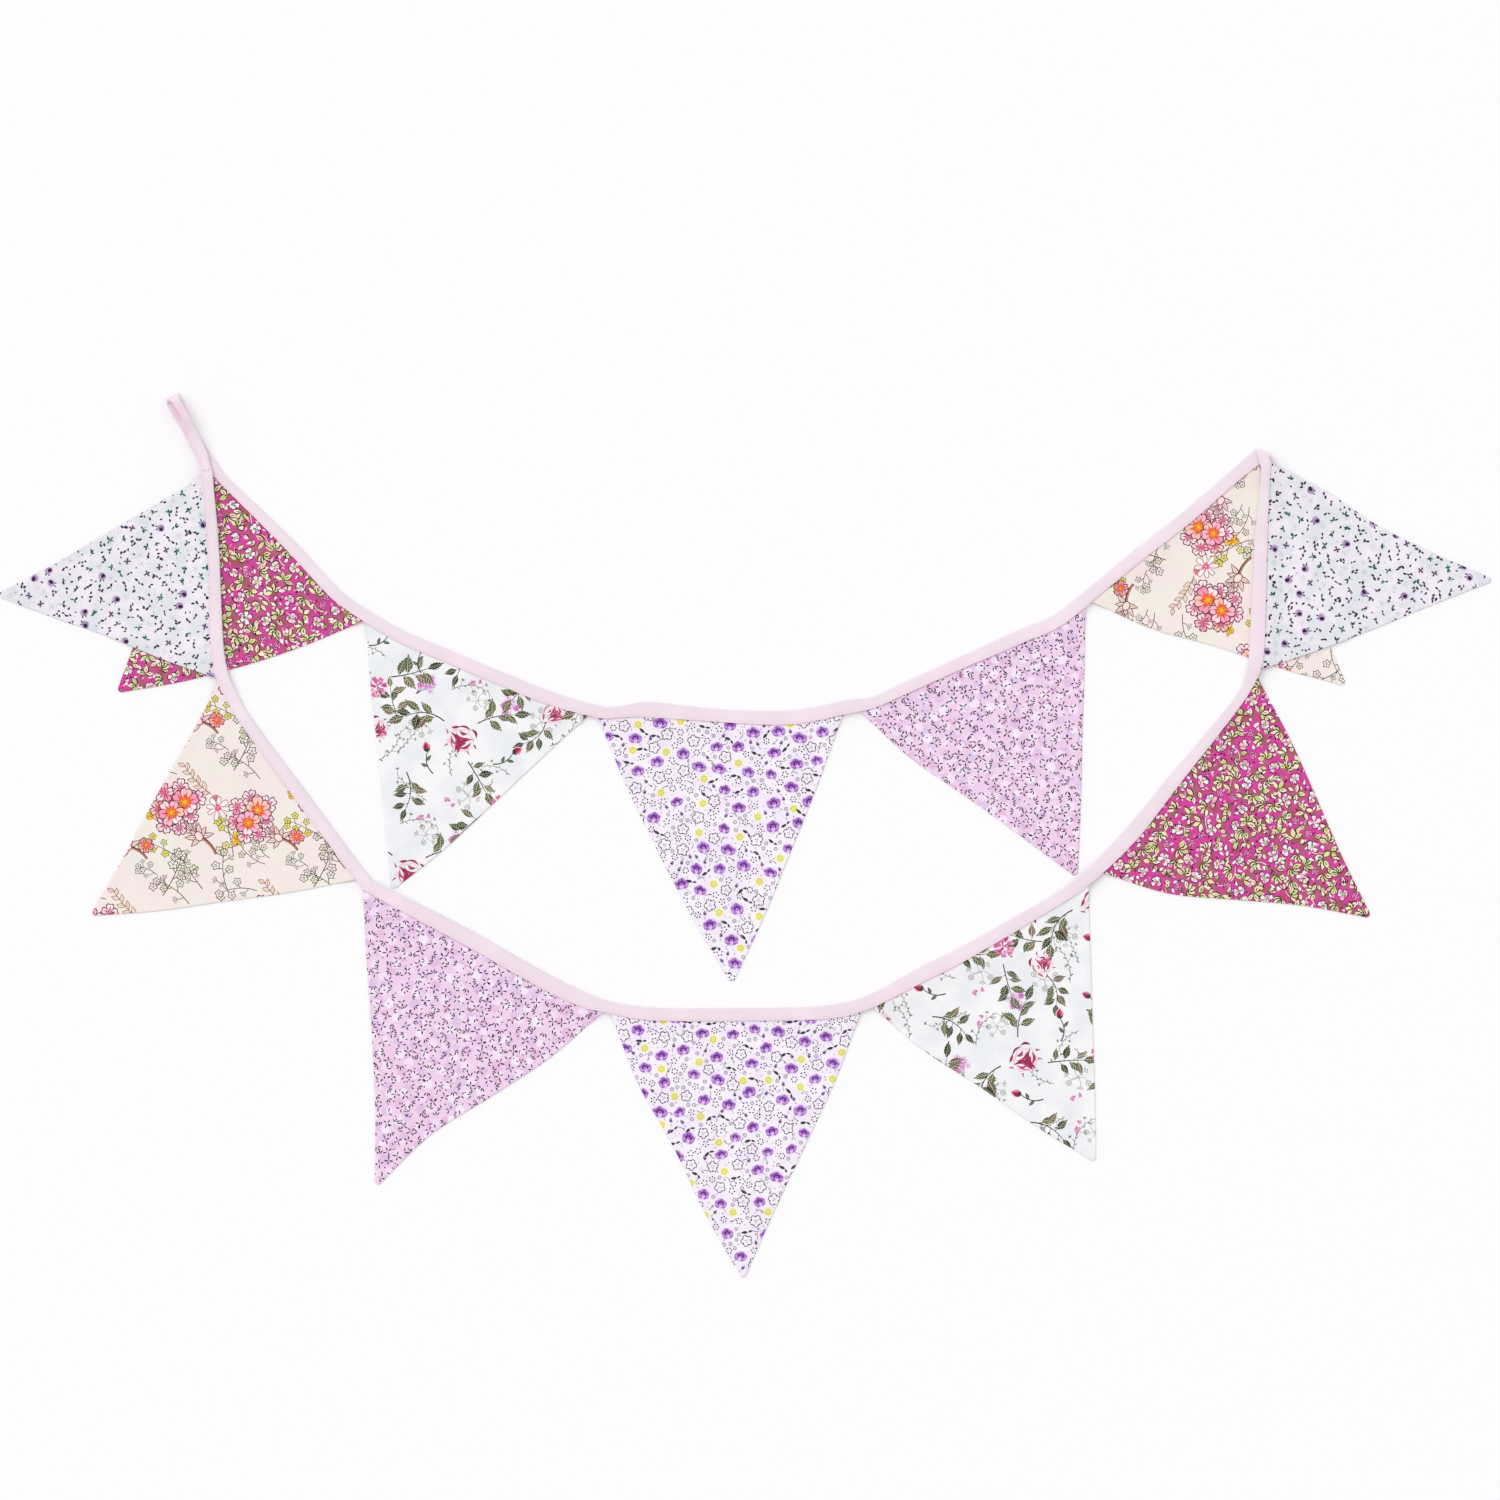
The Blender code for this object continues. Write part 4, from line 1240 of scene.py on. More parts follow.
def poppy_print(field, rng):
    shapes = []
    halo, deep, mid = tints("e6d4f0 582a7a 7c3e9c")
    light, bright = tints("d4a6e6 edd0f6")
    ink, grey, ring = tints("2b2730 827d8c a9a2b4")
    yellow_halo, yellow, yellow_mid = tints("f8f3c4 dad850 f4f1a6")
    leaf_ink, bell, paper = tints("3b3842 9d80b3 f8f3fb")

    def poppy():
        fill = mixed(linear("a866c6"), linear("ba86d6"), rng.random())
        made = [(disc(5.6, 12, 0.86, rng, 0.08), halo),
                ([(x, y * 0.82) for x, y in lobed(5.3, 5, 0.26, 5, 0.31 + rng.uniform(-0.1, 0.1))],
                 fill)]
        for side in (-1, 1):
            made += turned([(disc(1.5, 6, 0.7), mixed(fill, light, 0.7))], (side * 3.3, -1.2),
                           side * 0.7)
            fold = bow(side * 1.9, -3.6, side * 4.4, 0.9, -side * 0.25)
            made.append((stroke(fold, 0.7, 0.8, 0.3), mid))
        for k in range(7):
            a = math.radians(-80 + k * 27 + rng.uniform(-8, 8))
            made += turned([(stroke([(0, 1.6), (0, rng.uniform(3.0, 4.6))], 0.95, 1.0, 0.25), mid)],
                           angle=a)
        arc = [(2.0 * cos(a), -0.5 + 1.9 * sin(a)) for a in
               [math.radians(d) for d in (-20, 10, 45, 80, 110, 145, 180, 200)]]
        made.append((stroke(arc, 1.25, 0.9, 0.9), deep))
        made += turned([(disc(1.5, 8, 0.95, rng, 0.1), light)], (0.1, -1.5))
        made += turned([(disc(1.2, 6, 0.8), bright)], (0.2, -2.3))
        made += turned([(disc(0.6, 5), mid)], (0.0, -0.6))
        wide, tall, lean = rng.uniform(0.88, 1.1), rng.uniform(0.86, 1.06), rng.uniform(-0.2, 0.2)
        return [([(x * wide + y * lean, y * tall) for x, y in points], colour)
                for points, colour in made]

    def dashes(size):
        made = []
        for p in range(5):
            a = 2 * pi * p / 5
            for b in (a - 1.35, a - 0.45, a + 0.45, a + 1.35):
                made += dash(1.2 * size, 0.9, ink,
                             (size * (2.9 * cos(a) + 1.85 * cos(b)),
                              size * (2.9 * sin(a) + 1.85 * sin(b))), b + pi / 2)
        return made

    kinds = [("poppy", 5.9, 19, 16.0), ("yellow", 4.0, 9, 20.0), ("daisy", 4.9, 13, 15.0),
             ("leaf", 2.9, 15, 9.0), ("ring", 3.0, 34), ("bell", 2.6, 22), ("grey", 2.1, 42),
             ("stem", 2.0, 60), ("speck", 1.2, 70)]
    for name, x, y in field.pack(rng, kinds, 7):
        tilt = rng.uniform(-0.35, 0.35)
        turn_by = rng.uniform(0, 2 * pi)
        if name == "poppy":
            side = rng.choice((-1, 1))
            shapes += turned([(stroke(bow(0, -3.8, side * 5.2, -7.2, 0.2 * side), 0.7), grey)],
                             (x, y), tilt)
            shapes += turned(poppy(), (x, y), tilt, rng.uniform(0.98, 1.14))
        elif name == "yellow":
            shapes += turned([(lobed(4.2, 5, 0.16, 3), yellow_halo),
                              (lobed(3.1, 6, 0.3, 3), yellow), (disc(1.5, 7), yellow_mid),
                              (disc(0.7, 5), yellow)],
                             (x, y), turn_by)
        elif name == "daisy":
            made = dashes(rng.uniform(0.92, 1.1))
            for k in range(3):
                made += dash(0.8, 0.75, ink, polar(1.0, k * 2.1), k * 2.1)
            shapes += turned(made, (x, y), turn_by)
        elif name == "ring":
            made = []
            count = rng.choice((5, 6))
            for k in range(count):
                a = 2 * pi * k / count
                made += dash(1.25, 1.05, ink, polar(2.2, a), a + pi / 2)
            if rng.random() < 0.4:
                made += [(disc(0.5, 5), ink)]
            shapes += turned(made, (x, y), turn_by)
        elif name == "leaf":
            lie = rng.uniform(0.7, 2.4)
            shapes += turned([(blade(rng.uniform(5.2, 6.6), 2.5), leaf_ink)], (x, y - 1.4), lie)
            shapes += turned([(blade(rng.uniform(3.4, 4.6), 1.8), leaf_ink)], (x, y - 1.4),
                             lie + rng.choice((2.4, 3.4)))
        elif name == "bell":
            shapes += turned([(stroke(bow(0, -3.4, 0.4, 0, 0.2), 0.6), grey),
                              (blade(4.0, 2.8, 3, 0.4), bell), (blade(2.2, 1.3), mid),
                              (stroke([(-1.1, 0.3), (0, 1.5), (1.1, 0.3)], 0.7, 1, 1), ink)],
                             (x, y - 1), rng.uniform(-0.9, 0.9))
        elif name == "grey":
            shapes += turned([(disc(1.8, 8, 1, rng, 0.08), ring), (disc(0.95, 6), paper),
                              (disc(0.45, 5), grey)], (x, y))
        elif name == "stem":
            shapes += turned([(stroke(bow(0, -3.4, 1.5, 3.0, rng.uniform(-0.4, 0.4)), 0.75),
                               grey), (blade(2.4, 1.3, 2), rng.choice((ink, bell, grey)))],
                             (x, y), turn_by)
        else:
            shapes += dash(1.3, 0.55, rng.choice((ink, ring, grey)), (x, y), turn_by)
    return shapes


# ---------------------------------------------------------------- bud

def bud_print(field, rng):
    shapes = []
    plum, deep, lilac, rim = tints("4c2a54 2c1b36 b892c0 dccbe2")
    dots = tints("292535 352b49 232c34 3e2f54")
    greens = tints("1f5146 246355 37887a 1d4038")
    pale, white, stem = tints("b9c8c8 fdfcfe 4b535c")
    kinds = [("bud", 4.7, 11), ("open", 4.2, 8), ("sprig", 4.1, 24), ("dots", 3.7, 58),
             ("pale", 2.6, 30), ("dot", 1.8, 54), ("speck", 1.1, 110)]
    for name, x, y in field.pack(rng, kinds, 5):
        turn_by = rng.uniform(0, 2 * pi)
        made = []
        if name == "bud":
            made += [(disc(3.7, 9, 0.92, rng, 0.16), rim), (disc(3.0, 9, 0.92, rng, 0.2), lilac)]
            made += turned([(disc(2.35, 8, 0.85, rng, 0.2), plum)], (0.5, 0.3))
            made += turned([(disc(1.4, 6, 0.7, rng, 0.25), deep)], (0.8, 0.5))
            made += turned([(stroke(bow(-1.5, -0.8, 0.6, 1.6, 0.3, 4), 0.7), rim)], (0.2, 0))
            made += turned([(blade(3.0, 1.3), rng.choice(greens))], (-1.6, -1.8), 2.4)
            made += turned([(blade(2.6, 1.2), rng.choice(greens))], (-0.4, -2.2), 3.3)
        elif name == "open":
            for k in range(4):
                made += turned([(petal(3.3, 2.4, 0.1), rim), (blade(2.7, 1.5, 3, 0.6), plum)],
                               angle=k * 1.57 + rng.uniform(-0.3, 0.3))
            made.append((disc(0.8, 5), deep))
        elif name == "sprig":
            for k in range(rng.choice((3, 4, 5))):
                a = rng.uniform(0, ROUND)
                made += turned([(blade(rng.uniform(2.8, 4.2), rng.uniform(1.2, 1.7)),
                                 rng.choice(greens))], polar(0.3, a), a)
            made.append((stroke(bow(0, 0, 0.6, -3.8, 0.15, 4), 0.55), greens[1]))
        elif name == "dots":
            px, py = 0.0, 0.0
            for k in range(rng.choice((2, 2, 3, 3, 4))):
                a, r = rng.uniform(0, ROUND), rng.uniform(2.4, 3.5)
                if k:
                    made.append((stroke([(0, 0), (px, py)], 0.45, 0.7, 1), stem))
                made += turned([(disc(rng.uniform(1.1, 1.8), 7, 0.56, rng, 0.15),
                                 rng.choice(dots))], (px, py), a + rng.uniform(-0.8, 0.8))
                if rng.random() < 0.4:
                    made += turned([(disc(0.65, 5), lilac)], (px + 1.0, py + 0.6))
                px, py = polar(r, a)
        elif name == "dot":
            made += [(disc(rng.uniform(0.9, 1.5), 7, 0.6), rng.choice(dots))]
        elif name == "pale":
            for k in range(6):
                made += turned([(disc(0.55, 4), pale)], polar(2.0, k * 1.05))
            made.append((disc(0.7, 6), rng.choice((lilac, pale))))
        else:
            made.append((disc(rng.uniform(0.4, 0.75), 5), rng.choice((white, white, pale))))
        shapes += turned(made, (x, y), turn_by)
    return shapes


# ---------------------------------------------------------------- rose

# Fill, dark and light of a leaf.
LEAF_TONES = [tints(trio) for trio in (
    "5a6048 2e3526 bcbd9c", "6f7254 3c422c cdcca6", "474c39 262a20 a4a586",
    "82765f 463e30 d9d0b4", "767a5a 3f4630 d0d2ae", "94866a 544a38 e6dcc2")]


def inked_petals(rng, count, length, width, fills, edge, line=0.8, notch=0.12, start=0.0,
                 deep=None):
    """Petals in a ring, outlined, and shaded at their roots where deep is given."""
    made = []
    for k in range(count):
        a = start + TURN * k / count + rng.uniform(-0.07, 0.07)
        big, wide = length * rng.uniform(0.92, 1.08), width * rng.uniform(0.92, 1.08)
        inner = [(x * (wide - 2 * line) / wide, line * 0.5 + y * (big - 1.5 * line) / big)
                 for x, y in petal(big, wide, notch)]
        fill = rng.choice(fills)
        own = [(petal(big, wide, notch), edge), (inner, fill)]
        if deep:
            own.append((blade(big * 0.62, wide * 0.4, 2, 0.5), mixed(fill, deep, 0.66)))
            own.append((stroke([(0, big * 0.28), (wide * 0.08, big * 0.74)], line * 0.7), edge))
        made += turned(own, angle=a)
    return made


def rose_leaf(rng, length, width):
    """A toothed leaf with veins, one half darker."""
    fill, dark, light = rng.choice(LEAF_TONES)
    teeth = 6
    right, left = [], []
    for k in range(teeth):
        t = (k + 0.5) / teeth
        w = width / 2 * sin(pi * t ** 0.8)
        right += [(w * 0.92, t * length), (w * 1.14, (t + 0.09) * length)]
        left += [(-w * 0.92, t * length), (-w * 1.14, (t + 0.09) * length)]
    shape = [(0, 0)] + right + [(0, length * 1.12)] + left[::-1]
    half = [(0, 0)] + right[:-1] + [(0, length * 1.02)]
    made = [(shape, fill), (half, mixed(fill, dark, 0.7))]
    for k in range(4):
        t = 0.18 + 0.19 * k
        w = width / 2 * sin(pi * t ** 0.8) * 0.88
        for side in (-1, 1):
            made.append((stroke([(0, t * length), (side * w, (t + 0.16) * length)], 0.75, 1, 0.4),
                         dark if side < 0 else light))
    made.append((stroke([(-0.3, 0.3), (-0.2, length * 0.5), (-0.1, length)], 0.6, 1, 0.4), light))
    made.append((stroke([(0.35, 0.3), (0.45, length * 0.5), (0.3, length)], 0.6, 1, 0.4), dark))
    return made


def rose_spray(rng):
    length, leaves, size = 28.0, 7, 1.12
    stem = linear("453f34")
    curve = bow(0, 0, rng.uniform(-4, 4), length, rng.uniform(-0.16, 0.16), 8)
    made = [(stroke(curve, 1.0, 1, 0.5), stem)]
    for k in range(leaves):
        t = 0.2 + 0.8 * k / (leaves - 1)
        (x, y), heading = at_share(curve, min(0.999, t))
        side = -1 if k % 2 else 1
        a = heading - pi / 2 + (side * rng.uniform(0.4, 1.5) if k < leaves - 1 else 0.0)
        big = rng.uniform(8.5, 13.0) * size * (1 - 0.25 * abs(t - 0.6))
        stalk = rng.uniform(0.8, 3.4)
        at = (x - stalk * sin(a), y + stalk * cos(a))
        made.append((stroke([(x, y), at], 0.6), stem))
        made += turned(rose_leaf(rng, big, big * rng.uniform(0.42, 0.58)), at, a)
    return made


def crescent(x0, y0, x1, y1, outer, inner, count=6):
    """A brush mark between two curves from one place to another."""
    return bow(x0, y0, x1, y1, outer, count) + bow(x0, y0, x1, y1, inner, count)[::-1][1:-1]


def rose_bloom(rng):
    """A full rose from the side, in loose brush marks, its base at the bottom."""
    pinks = tints("b8406a a8305a c85c84 bd4a76 9c2850")
    blush, white = tints("f7d5e1 fcf6f8")
    made = [(lobed(9.6, 6, 0.26, 3, rng.uniform(0, 1)), blush)]
    made += turned([(lobed(7.6, 5, 0.3, 3, rng.uniform(0, 1)), white)], (0.4, 0.8))

    def mark(x0, y0, x1, y1, outer, inner):
        x0, y0, x1, y1 = (v + rng.uniform(-0.6, 0.6) for v in (x0, y0, x1, y1))
        inner = outer + (inner - outer) * 0.74
        made.append((crescent(x0, y0, x1, y1, outer, inner), rng.choice(pinks)))

    mark(-8.2, 2.6, -1.2, -9.4, 0.42, 0.10)        # the outer petals
    mark(8.4, 3.4, 1.4, -9.2, -0.40, -0.12)
    mark(-9.4, 5.6, -3.6, 9.2, 0.10, -0.30)        # curled rims
    mark(3.2, 9.8, 9.8, 4.6, 0.34, 0.0)
    mark(-4.6, 7.0, 5.4, 7.4, 0.30, 0.10)
    mark(-4.8, 4.4, 4.6, 4.0, -0.36, -0.12)        # the heart
    mark(-2.4, 5.6, 2.8, 5.4, -0.42, 0.10)
    mark(-6.6, 1.4, 0.4, -3.6, -0.30, -0.06)
    mark(6.4, 1.0, 0.8, -4.6, 0.34, 0.02)
    for x0, y0, x1, y1, width in ((-2.8, 0.6, -0.8, -8.0, 1.6), (1.0, 1.2, 0.4, -8.4, 1.2),
                                  (3.8, -0.4, 1.6, -7.6, 1.4), (-6.0, -1.0, -2.4, -6.4, 1.2),
                                  (-9.6, 1.6, -11.8, 4.0, 1.5), (9.6, 0.4, 12.0, -1.8, 1.6),
                                  (6.8, -5.0, 9.0, -7.4, 1.3), (-7.2, -5.2, -8.8, -7.8, 1.2)):
        made.append((stroke(bow(x0, y0, x1, y1, rng.uniform(-0.15, 0.15), 4), width, 1, 0.25),
                     rng.choice(pinks)))
    return made


def frilly_bloom(rng):
    pinks = tints("e67fb2 f2a5ca dc68a2 f7c2db")
    deep = linear("bb2a6e")
    made = []
    for ring, count, size in ((4.6, 8, 5.2), (2.6, 6, 4.6)):
        for k in range(count):
            a = 2 * pi * k / count + rng.uniform(-0.15, 0.15) + ring
            made += turned([(petal(size, size * 0.8, 0.2), rng.choice(pinks)),
                            (stroke(bow(0, size * 0.3, 0.6, size * 0.85, 0.1, 3), 1.2, 1, 0.3),
                             deep if k % 2 else pinks[2])],
                           (-ring * 0.75 * sin(a), ring * 0.75 * cos(a)), a)
    for k in range(6):
        a = rng.uniform(0, ROUND)
        made += turned([(stroke(bow(0.4, 0.4, 2.8, 1.6, 0.3, 4), 1.2, 1, 0.3), deep)], angle=a)
    return made


def rose_bud(rng):
    crimson, deep, blush = tints("bd2f5c 8a1b40 efb8cc")
    stem, leaf = tints("3c4132 48573f")
    curve = bow(0, -19, 0, 0, rng.choice((-1, 1)) * 0.16, 7)
    made = [(stroke(curve, 0.95, 1.1, 0.7), stem)]
    for t, side in ((0.35, 1), (0.6, -1)):
        (x, y), heading = at_share(curve, t)
        a = heading - pi / 2 + side * 0.8
        made += turned([(blade(6.4, 2.8), leaf), (stroke([(0, 1), (0, 5)], 0.5), linear("a3ad92"))],
                       (x, y), a)
    made += [(blade(8.8, 7.0, 4, 0.42), blush), (blade(7.6, 5.4, 4, 0.42), crimson),
             (stroke(bow(-1.2, 1.6, 0.4, 6.4, 0.15, 4), 1.3, 1, 0.3), deep),
             (stroke(bow(1.6, 1.4, 0.6, 5.6, -0.2, 4), 0.8, 1, 0.3), blush)]
    for a in (-0.75, 0.0, 0.75):
        made += turned([(blade(4.2, 1.5), stem)], (0, -0.6), a)
    return made


def lilac_cluster(rng):
    tones = tints("e5a6d8 eebfe6 da86c8 f3d0ee")
    stem, deep = tints("6f5f58 a03c8c")
    made = []
    for _ in range(4):
        a = rng.uniform(-0.9, 0.9)
        made.append((stroke(bow(0, -11, 8 * sin(a), 7 * cos(a), 0.08, 5), 0.6), stem))
    for k in range(8):
        a, r = k * 2.4, 1.6 + 0.95 * k
        x, y = r * cos(a), 2 + r * sin(a) * 0.8
        tone = rng.choice(tones)
        for p in range(5):
            made += turned([(petal(2.9, 2.3), tone)], (x, y), p * FIFTH + k)
        made += turned([(disc(0.65, 5), deep)], (x, y))
    return made


def twig(rng):
    length = 34.0
    stem = tints("7d7667 6a6456 8c8476")
    leaf = tints("757c66 8d8872 5f6654 a8a48c")
    curve = bow(0, 0, 0, length, rng.uniform(-0.18, 0.18), 9)
    made = [(stroke(curve, 0.6, 1, 0.6), stem[0])]
    steps = round(length / 2.8)
    for k in range(steps):
        (x, y), heading = at_share(curve, min(0.999, (k + 0.7) / steps))
        side = -1 if k % 2 else 1
        a = heading - pi / 2 + side * rng.uniform(0.5, 1.1)
        if k % 3 == 2:
            end = (x - 5.0 * sin(a), y + 5.0 * cos(a))
            made.append((stroke([(x, y), end], 0.45), stem[1]))
            for b in (-0.8, 0.0, 0.8):
                made += turned([(blade(2.5, 1.0, 2), rng.choice(leaf))], end, a + b)
        else:
            made += turned([(blade(rng.uniform(2.4, 3.4), 1.15, 2), rng.choice(leaf))], (x, y), a)
    return made


def bramble(rng):
    """Loose outlined blossoms and leaves on thin stems, in grey green."""
    grey = tints("9fa294 8f9385 b2b1a2")
    paper = tints("f6f6f3 f1f2ea eef0e6")
    made = []
    for k in range(6):
        a = k * 1.05 + rng.uniform(-0.3, 0.3)
        far = rng.uniform(7, 10)
        curve = bow(0, 0, far * cos(a), far * sin(a), rng.uniform(-0.3, 0.3), 5)
        made.append((stroke(curve, 0.45, 1, 0.7), rng.choice(grey)))
        end, heading = at_share(curve, 0.98)
        if k % 2:
            made += turned(inked_petals(rng, 5, 2.6, 2.2, paper, grey[1], 0.45), end, heading)
            made += turned([(disc(0.5, 5), grey[1])], end)
            continue
        for b in (-0.9, 0.0, 0.9):
            made += turned([(blade(3.4, 1.7, 2), rng.choice(grey)),
                            *turned([(blade(2.3, 0.8, 2), paper[0])], (0, 0.4))],
                           end, heading - pi / 2 + b)
    return made


def fallen_petals(_):
    made = []
    for k in range(3):
        made += turned([(petal(5.0, 3.8), linear("eaa0ca")),
                        (stroke([(0, 1), (0, 3.8)], 0.9), linear("c34a8a"))],
                       (k * 4.5 - 4, 3 * sin(k)), k * 1.3)
    return made


# The repeat of the rose print: what it is, where, its turn in degrees and its size.
ROSE_CHART = [
    ("spray", (16, 20), 200, 1.05), ("bloom", (48, 60), 0, 1.22), ("spray", (30, 70), 105, 1.1),
    ("spray", (56, 78), -62, 1.0), ("spray", (60, 46), -130, 1.0), ("frilly", (98, 22), 0, 1.05),
    ("spray", (106, 34), -50, 1.05), ("spray", (88, 12), 150, 0.95), ("bud", (26, 42), 35, 1.0),
    ("bud", (92, 66), -40, 1.0), ("bud", (122, 62), 20, 0.9), ("cluster", (76, 100), 20, 1.0),
    ("cluster", (6, 92), -30, 1.0), ("twig", (40, 4), 70, 0.95), ("twig", (52, 30), 10, 0.9),
    ("twig", (118, 82), -20, 1.0), ("twig", (26, 96), -75, 0.95), ("twig", (96, 48), 100, 0.85),
    ("bramble", (70, 20), 0, 1.0), ("bramble", (12, 60), 0, 1.0), ("bramble", (104, 98), 40, 1.0),
    ("twig", (4, 34), -20, 0.8), ("petals", (58, 8), 0, 0.9), ("petals", (44, 108), 50, 0.9),
    ("spray", (124, 4), 35, 0.9), ("bramble", (50, 96), 80, 0.9), ("twig", (84, 40), -150, 0.8),
    ("bloom", (112, 108), 80, 0.95), ("spray", (108, 98), 160, 0.8),
]
ROSE_TILE = (130.0, 118.0, 54.0)         # its width and height, and each column's drop


# What draws each item, and which items lie over which.
ROSE_ITEMS = {
    "bramble": (0, bramble), "twig": (1, twig), "petals": (2, fallen_petals),
    "cluster": (3, lilac_cluster), "spray": (4, rose_spray), "bud": (5, rose_bud),
    "frilly": (6, frilly_bloom), "bloom": (7, rose_bloom),
}


def charted(field, chart, items, tile, margin, seed):
    """A print that repeats: every item of its chart that touches the pennant, lowest first."""
    shapes = []
    places = field.tile([item[1] for item in chart], *tile, margin)
    for number, x, y in sorted(places, key=lambda p: items[chart[p[0]][0]][0]):
        kind, _, angle, size = chart[number]
        made = items[kind][1](random.Random(seed + number))
        shapes += turned(made, (x, y), math.radians(angle), size)
    return shapes


def rose_print(field, _):
    return charted(field, ROSE_CHART, ROSE_ITEMS, ROSE_TILE, 32, 40)


# ---------------------------------------------------------------- blossom

EDGE, BROWN_LINE = tints("7c2c42 6e4a3c")


def orange_heart(rng, radius):
    """Stamens of a large blossom."""
    orange, amber, yellow = tints("f0622a f8922c ffbe38")
    made = []
    for k in range(13):
        a = 2 * pi * k / 13 + rng.uniform(-0.1, 0.1)
        made += turned([(blade(radius * rng.uniform(1.0, 1.4), radius * 0.42, 2, 0.5), orange)],
                       angle=a)
    made += [(disc(radius * 0.74, 9, 1, rng, 0.1), amber),
             (disc(radius * 0.42, 7, 1, rng, 0.1), yellow)]
    for k in range(6):
        made += turned([(stroke([(0, radius * 0.25), (0, radius * 0.85)], 0.4, 1, 1),
                         linear("b8482c"))], angle=k * 1.047)
    return made


def inked_leaf(length, width, fill, edge, line=0.6):
    inner = [(x * (width - 2 * line) / width, line * 0.8 + y * (length - 2 * line) / length)
             for x, y in blade(length, width, 3, 0.42)]
    return [(blade(length, width, 3, 0.42), edge), (inner, fill),
            (stroke([(0, length * 0.1), (width * 0.05, length * 0.85)], line * 0.7), edge)]


def posy(rng):
    """A bunch of blossoms on stems that meet in a calyx."""
    pinks = tints("fbbcd0 fddbe5 f8a0bc fdeaf0")
    corals = tints("fcc9bd fab0a4 fdd9d0")
    lilac = tints("fbe8f4 f8d9ec fdf3f8")
    peach, brown, brown_light = tints("fae6de 7d3d38 d79a86")
    made = []
    for x, y in ((-9, 8), (7, 12), (-2, 19), (13, 2), (-15, -1), (4, -1)):
        made.append((stroke(bow(0, -18, x, y, 0.05, 5), 1.5, 1, 0.8), EDGE))
        made.append((stroke(bow(0, -18, x, y, 0.05, 5), 0.5, 1, 0.8), peach))
    for k, a in enumerate((-1.9, -1.15, -0.5, 0.35, 1.0, 1.8)):
        long = 9.5 if k % 2 else 11.5
        made += turned(inked_leaf(long, 4.4, peach, EDGE, 0.75), (0, -21), a)
    made.append((stroke(bow(0, -20, 3.0, -38, 0.1, 6), 2.3, 1.1, 0.8), brown))
    made.append((stroke(bow(-0.2, -21, 2.9, -37.5, 0.1, 6), 0.7, 1, 0.7), brown_light))
    made += turned([(disc(3.1, 9, 1.35), EDGE), (disc(2.5, 9, 1.35), peach)], (0, -20))
    small = (((-15, 1), 6.8, pinks[3:] + lilac), ((13.5, 3.5), 7.0, lilac),
             ((-3, 20.5), 6.6, pinks), ((9, 17), 6.4, pinks[3:] + lilac),
             ((-13, 13), 6.2, corals + pinks[:1]), ((3.5, -4.5), 5.6, lilac),
             ((-8.5, -7), 5.4, pinks[1:2] + lilac))
    for at, r, fills in small:
        own = inked_petals(rng, 5, r * 1.12, r * 0.95, fills, EDGE, start=rng.uniform(0, 1),
                           deep=linear("e8307c"))
        for k in range(4):
            own += turned([(disc(0.42, 4), BROWN_LINE)], polar(1.5, k * 1.57))
        made += turned(own, at)
    for at, r in (((5.5, 6.5), 10.2), ((-7, 5.5), 9.4)):
        own = inked_petals(rng, 6, r * 1.1, r * 0.9, pinks + corals[:1], EDGE,
                           start=rng.uniform(0, 1), deep=linear("f2543f"))
        own += orange_heart(rng, r * 0.45)
        made += turned(own, at)
    return made


def flower_spray(rng, length=36.0, yellow=False):
    """Small outlined flowers to both sides of a stem."""
    line = linear("62521f") if yellow else linear("3c3826")
    fills = (tints("f3e674 eee36a f6efa4") if yellow else
             tints("f6efe8 f5eee6 f8f3ea f2efd4"))
    curve = bow(0, 0, 0, length, rng.uniform(-0.15, 0.15), 8)
    made = [(stroke(curve, 0.75, 1, 0.8), line)]
    for k, t in enumerate((0.22, 0.42, 0.6, 0.76, 0.9, 0.99)):
        (x, y), heading = at_share(curve, t)
        side = -1 if k % 2 else 1
        a = heading - pi / 2 + (side * rng.uniform(0.6, 1.2) if t < 0.95 else 0.0)
        far = rng.uniform(5.0, 8.5) if t < 0.95 else 1.0
        end = (x - far * sin(a), y + far * cos(a))
        made.append((stroke(bow(x, y, *end, 0.12, 4), 0.65, 1, 0.9), line))
        if k in (0, 3) and not yellow:
            for b in (-0.7, 0.1, 0.9):
                made += turned(inked_leaf(4.6, 2.3, fills[1], line, 0.5)[:2], end, a + b)
            continue
        turn_by = rng.uniform(0, 1)
        big = rng.uniform(3.9, 4.7)
        own = [(lobed(big, 5, 0.34, 4, turn_by), line),
               (lobed(big - 0.84, 5, 0.38, 4, turn_by), rng.choice(fills))]
        for p in range(5):
            own += turned([(stroke([(0.0, 0.7), (0.0, 2.2)], 0.5, 1, 0.7), line)],
                          angle=turn_by - pi / 2 + (p + 0.5) * FIFTH)
        own.append((disc(0.6, 5), line))
        made += turned(own, end, a)
    return made


def leafy_chain(rng):
    fills = tints("fae3d4 f3eecb fbe9df f8dccf")
    edge = linear("8f5a50")
    curve = bow(0, 0, 0, 34, 0.06, 7)
    made = [(stroke(curve, 0.7, 1, 0.7), edge)]
    for k in range(9):
        (x, y), heading = at_share(curve, min(0.999, 0.05 + 0.11 * k))
        side = -1 if k % 2 else 1
        made += turned(inked_leaf(9.0 - 0.3 * k, 4.0, rng.choice(fills), edge), (x, y),
                       heading - pi / 2 + side * 0.62)
    for b in (-0.5, 0.0, 0.5):
        made += turned([(blade(6.4, 3.1, 3, 0.5), EDGE),
                        (blade(5.4, 2.0, 3, 0.5), linear("f28a98"))], (0, -1), pi + b)
    return made


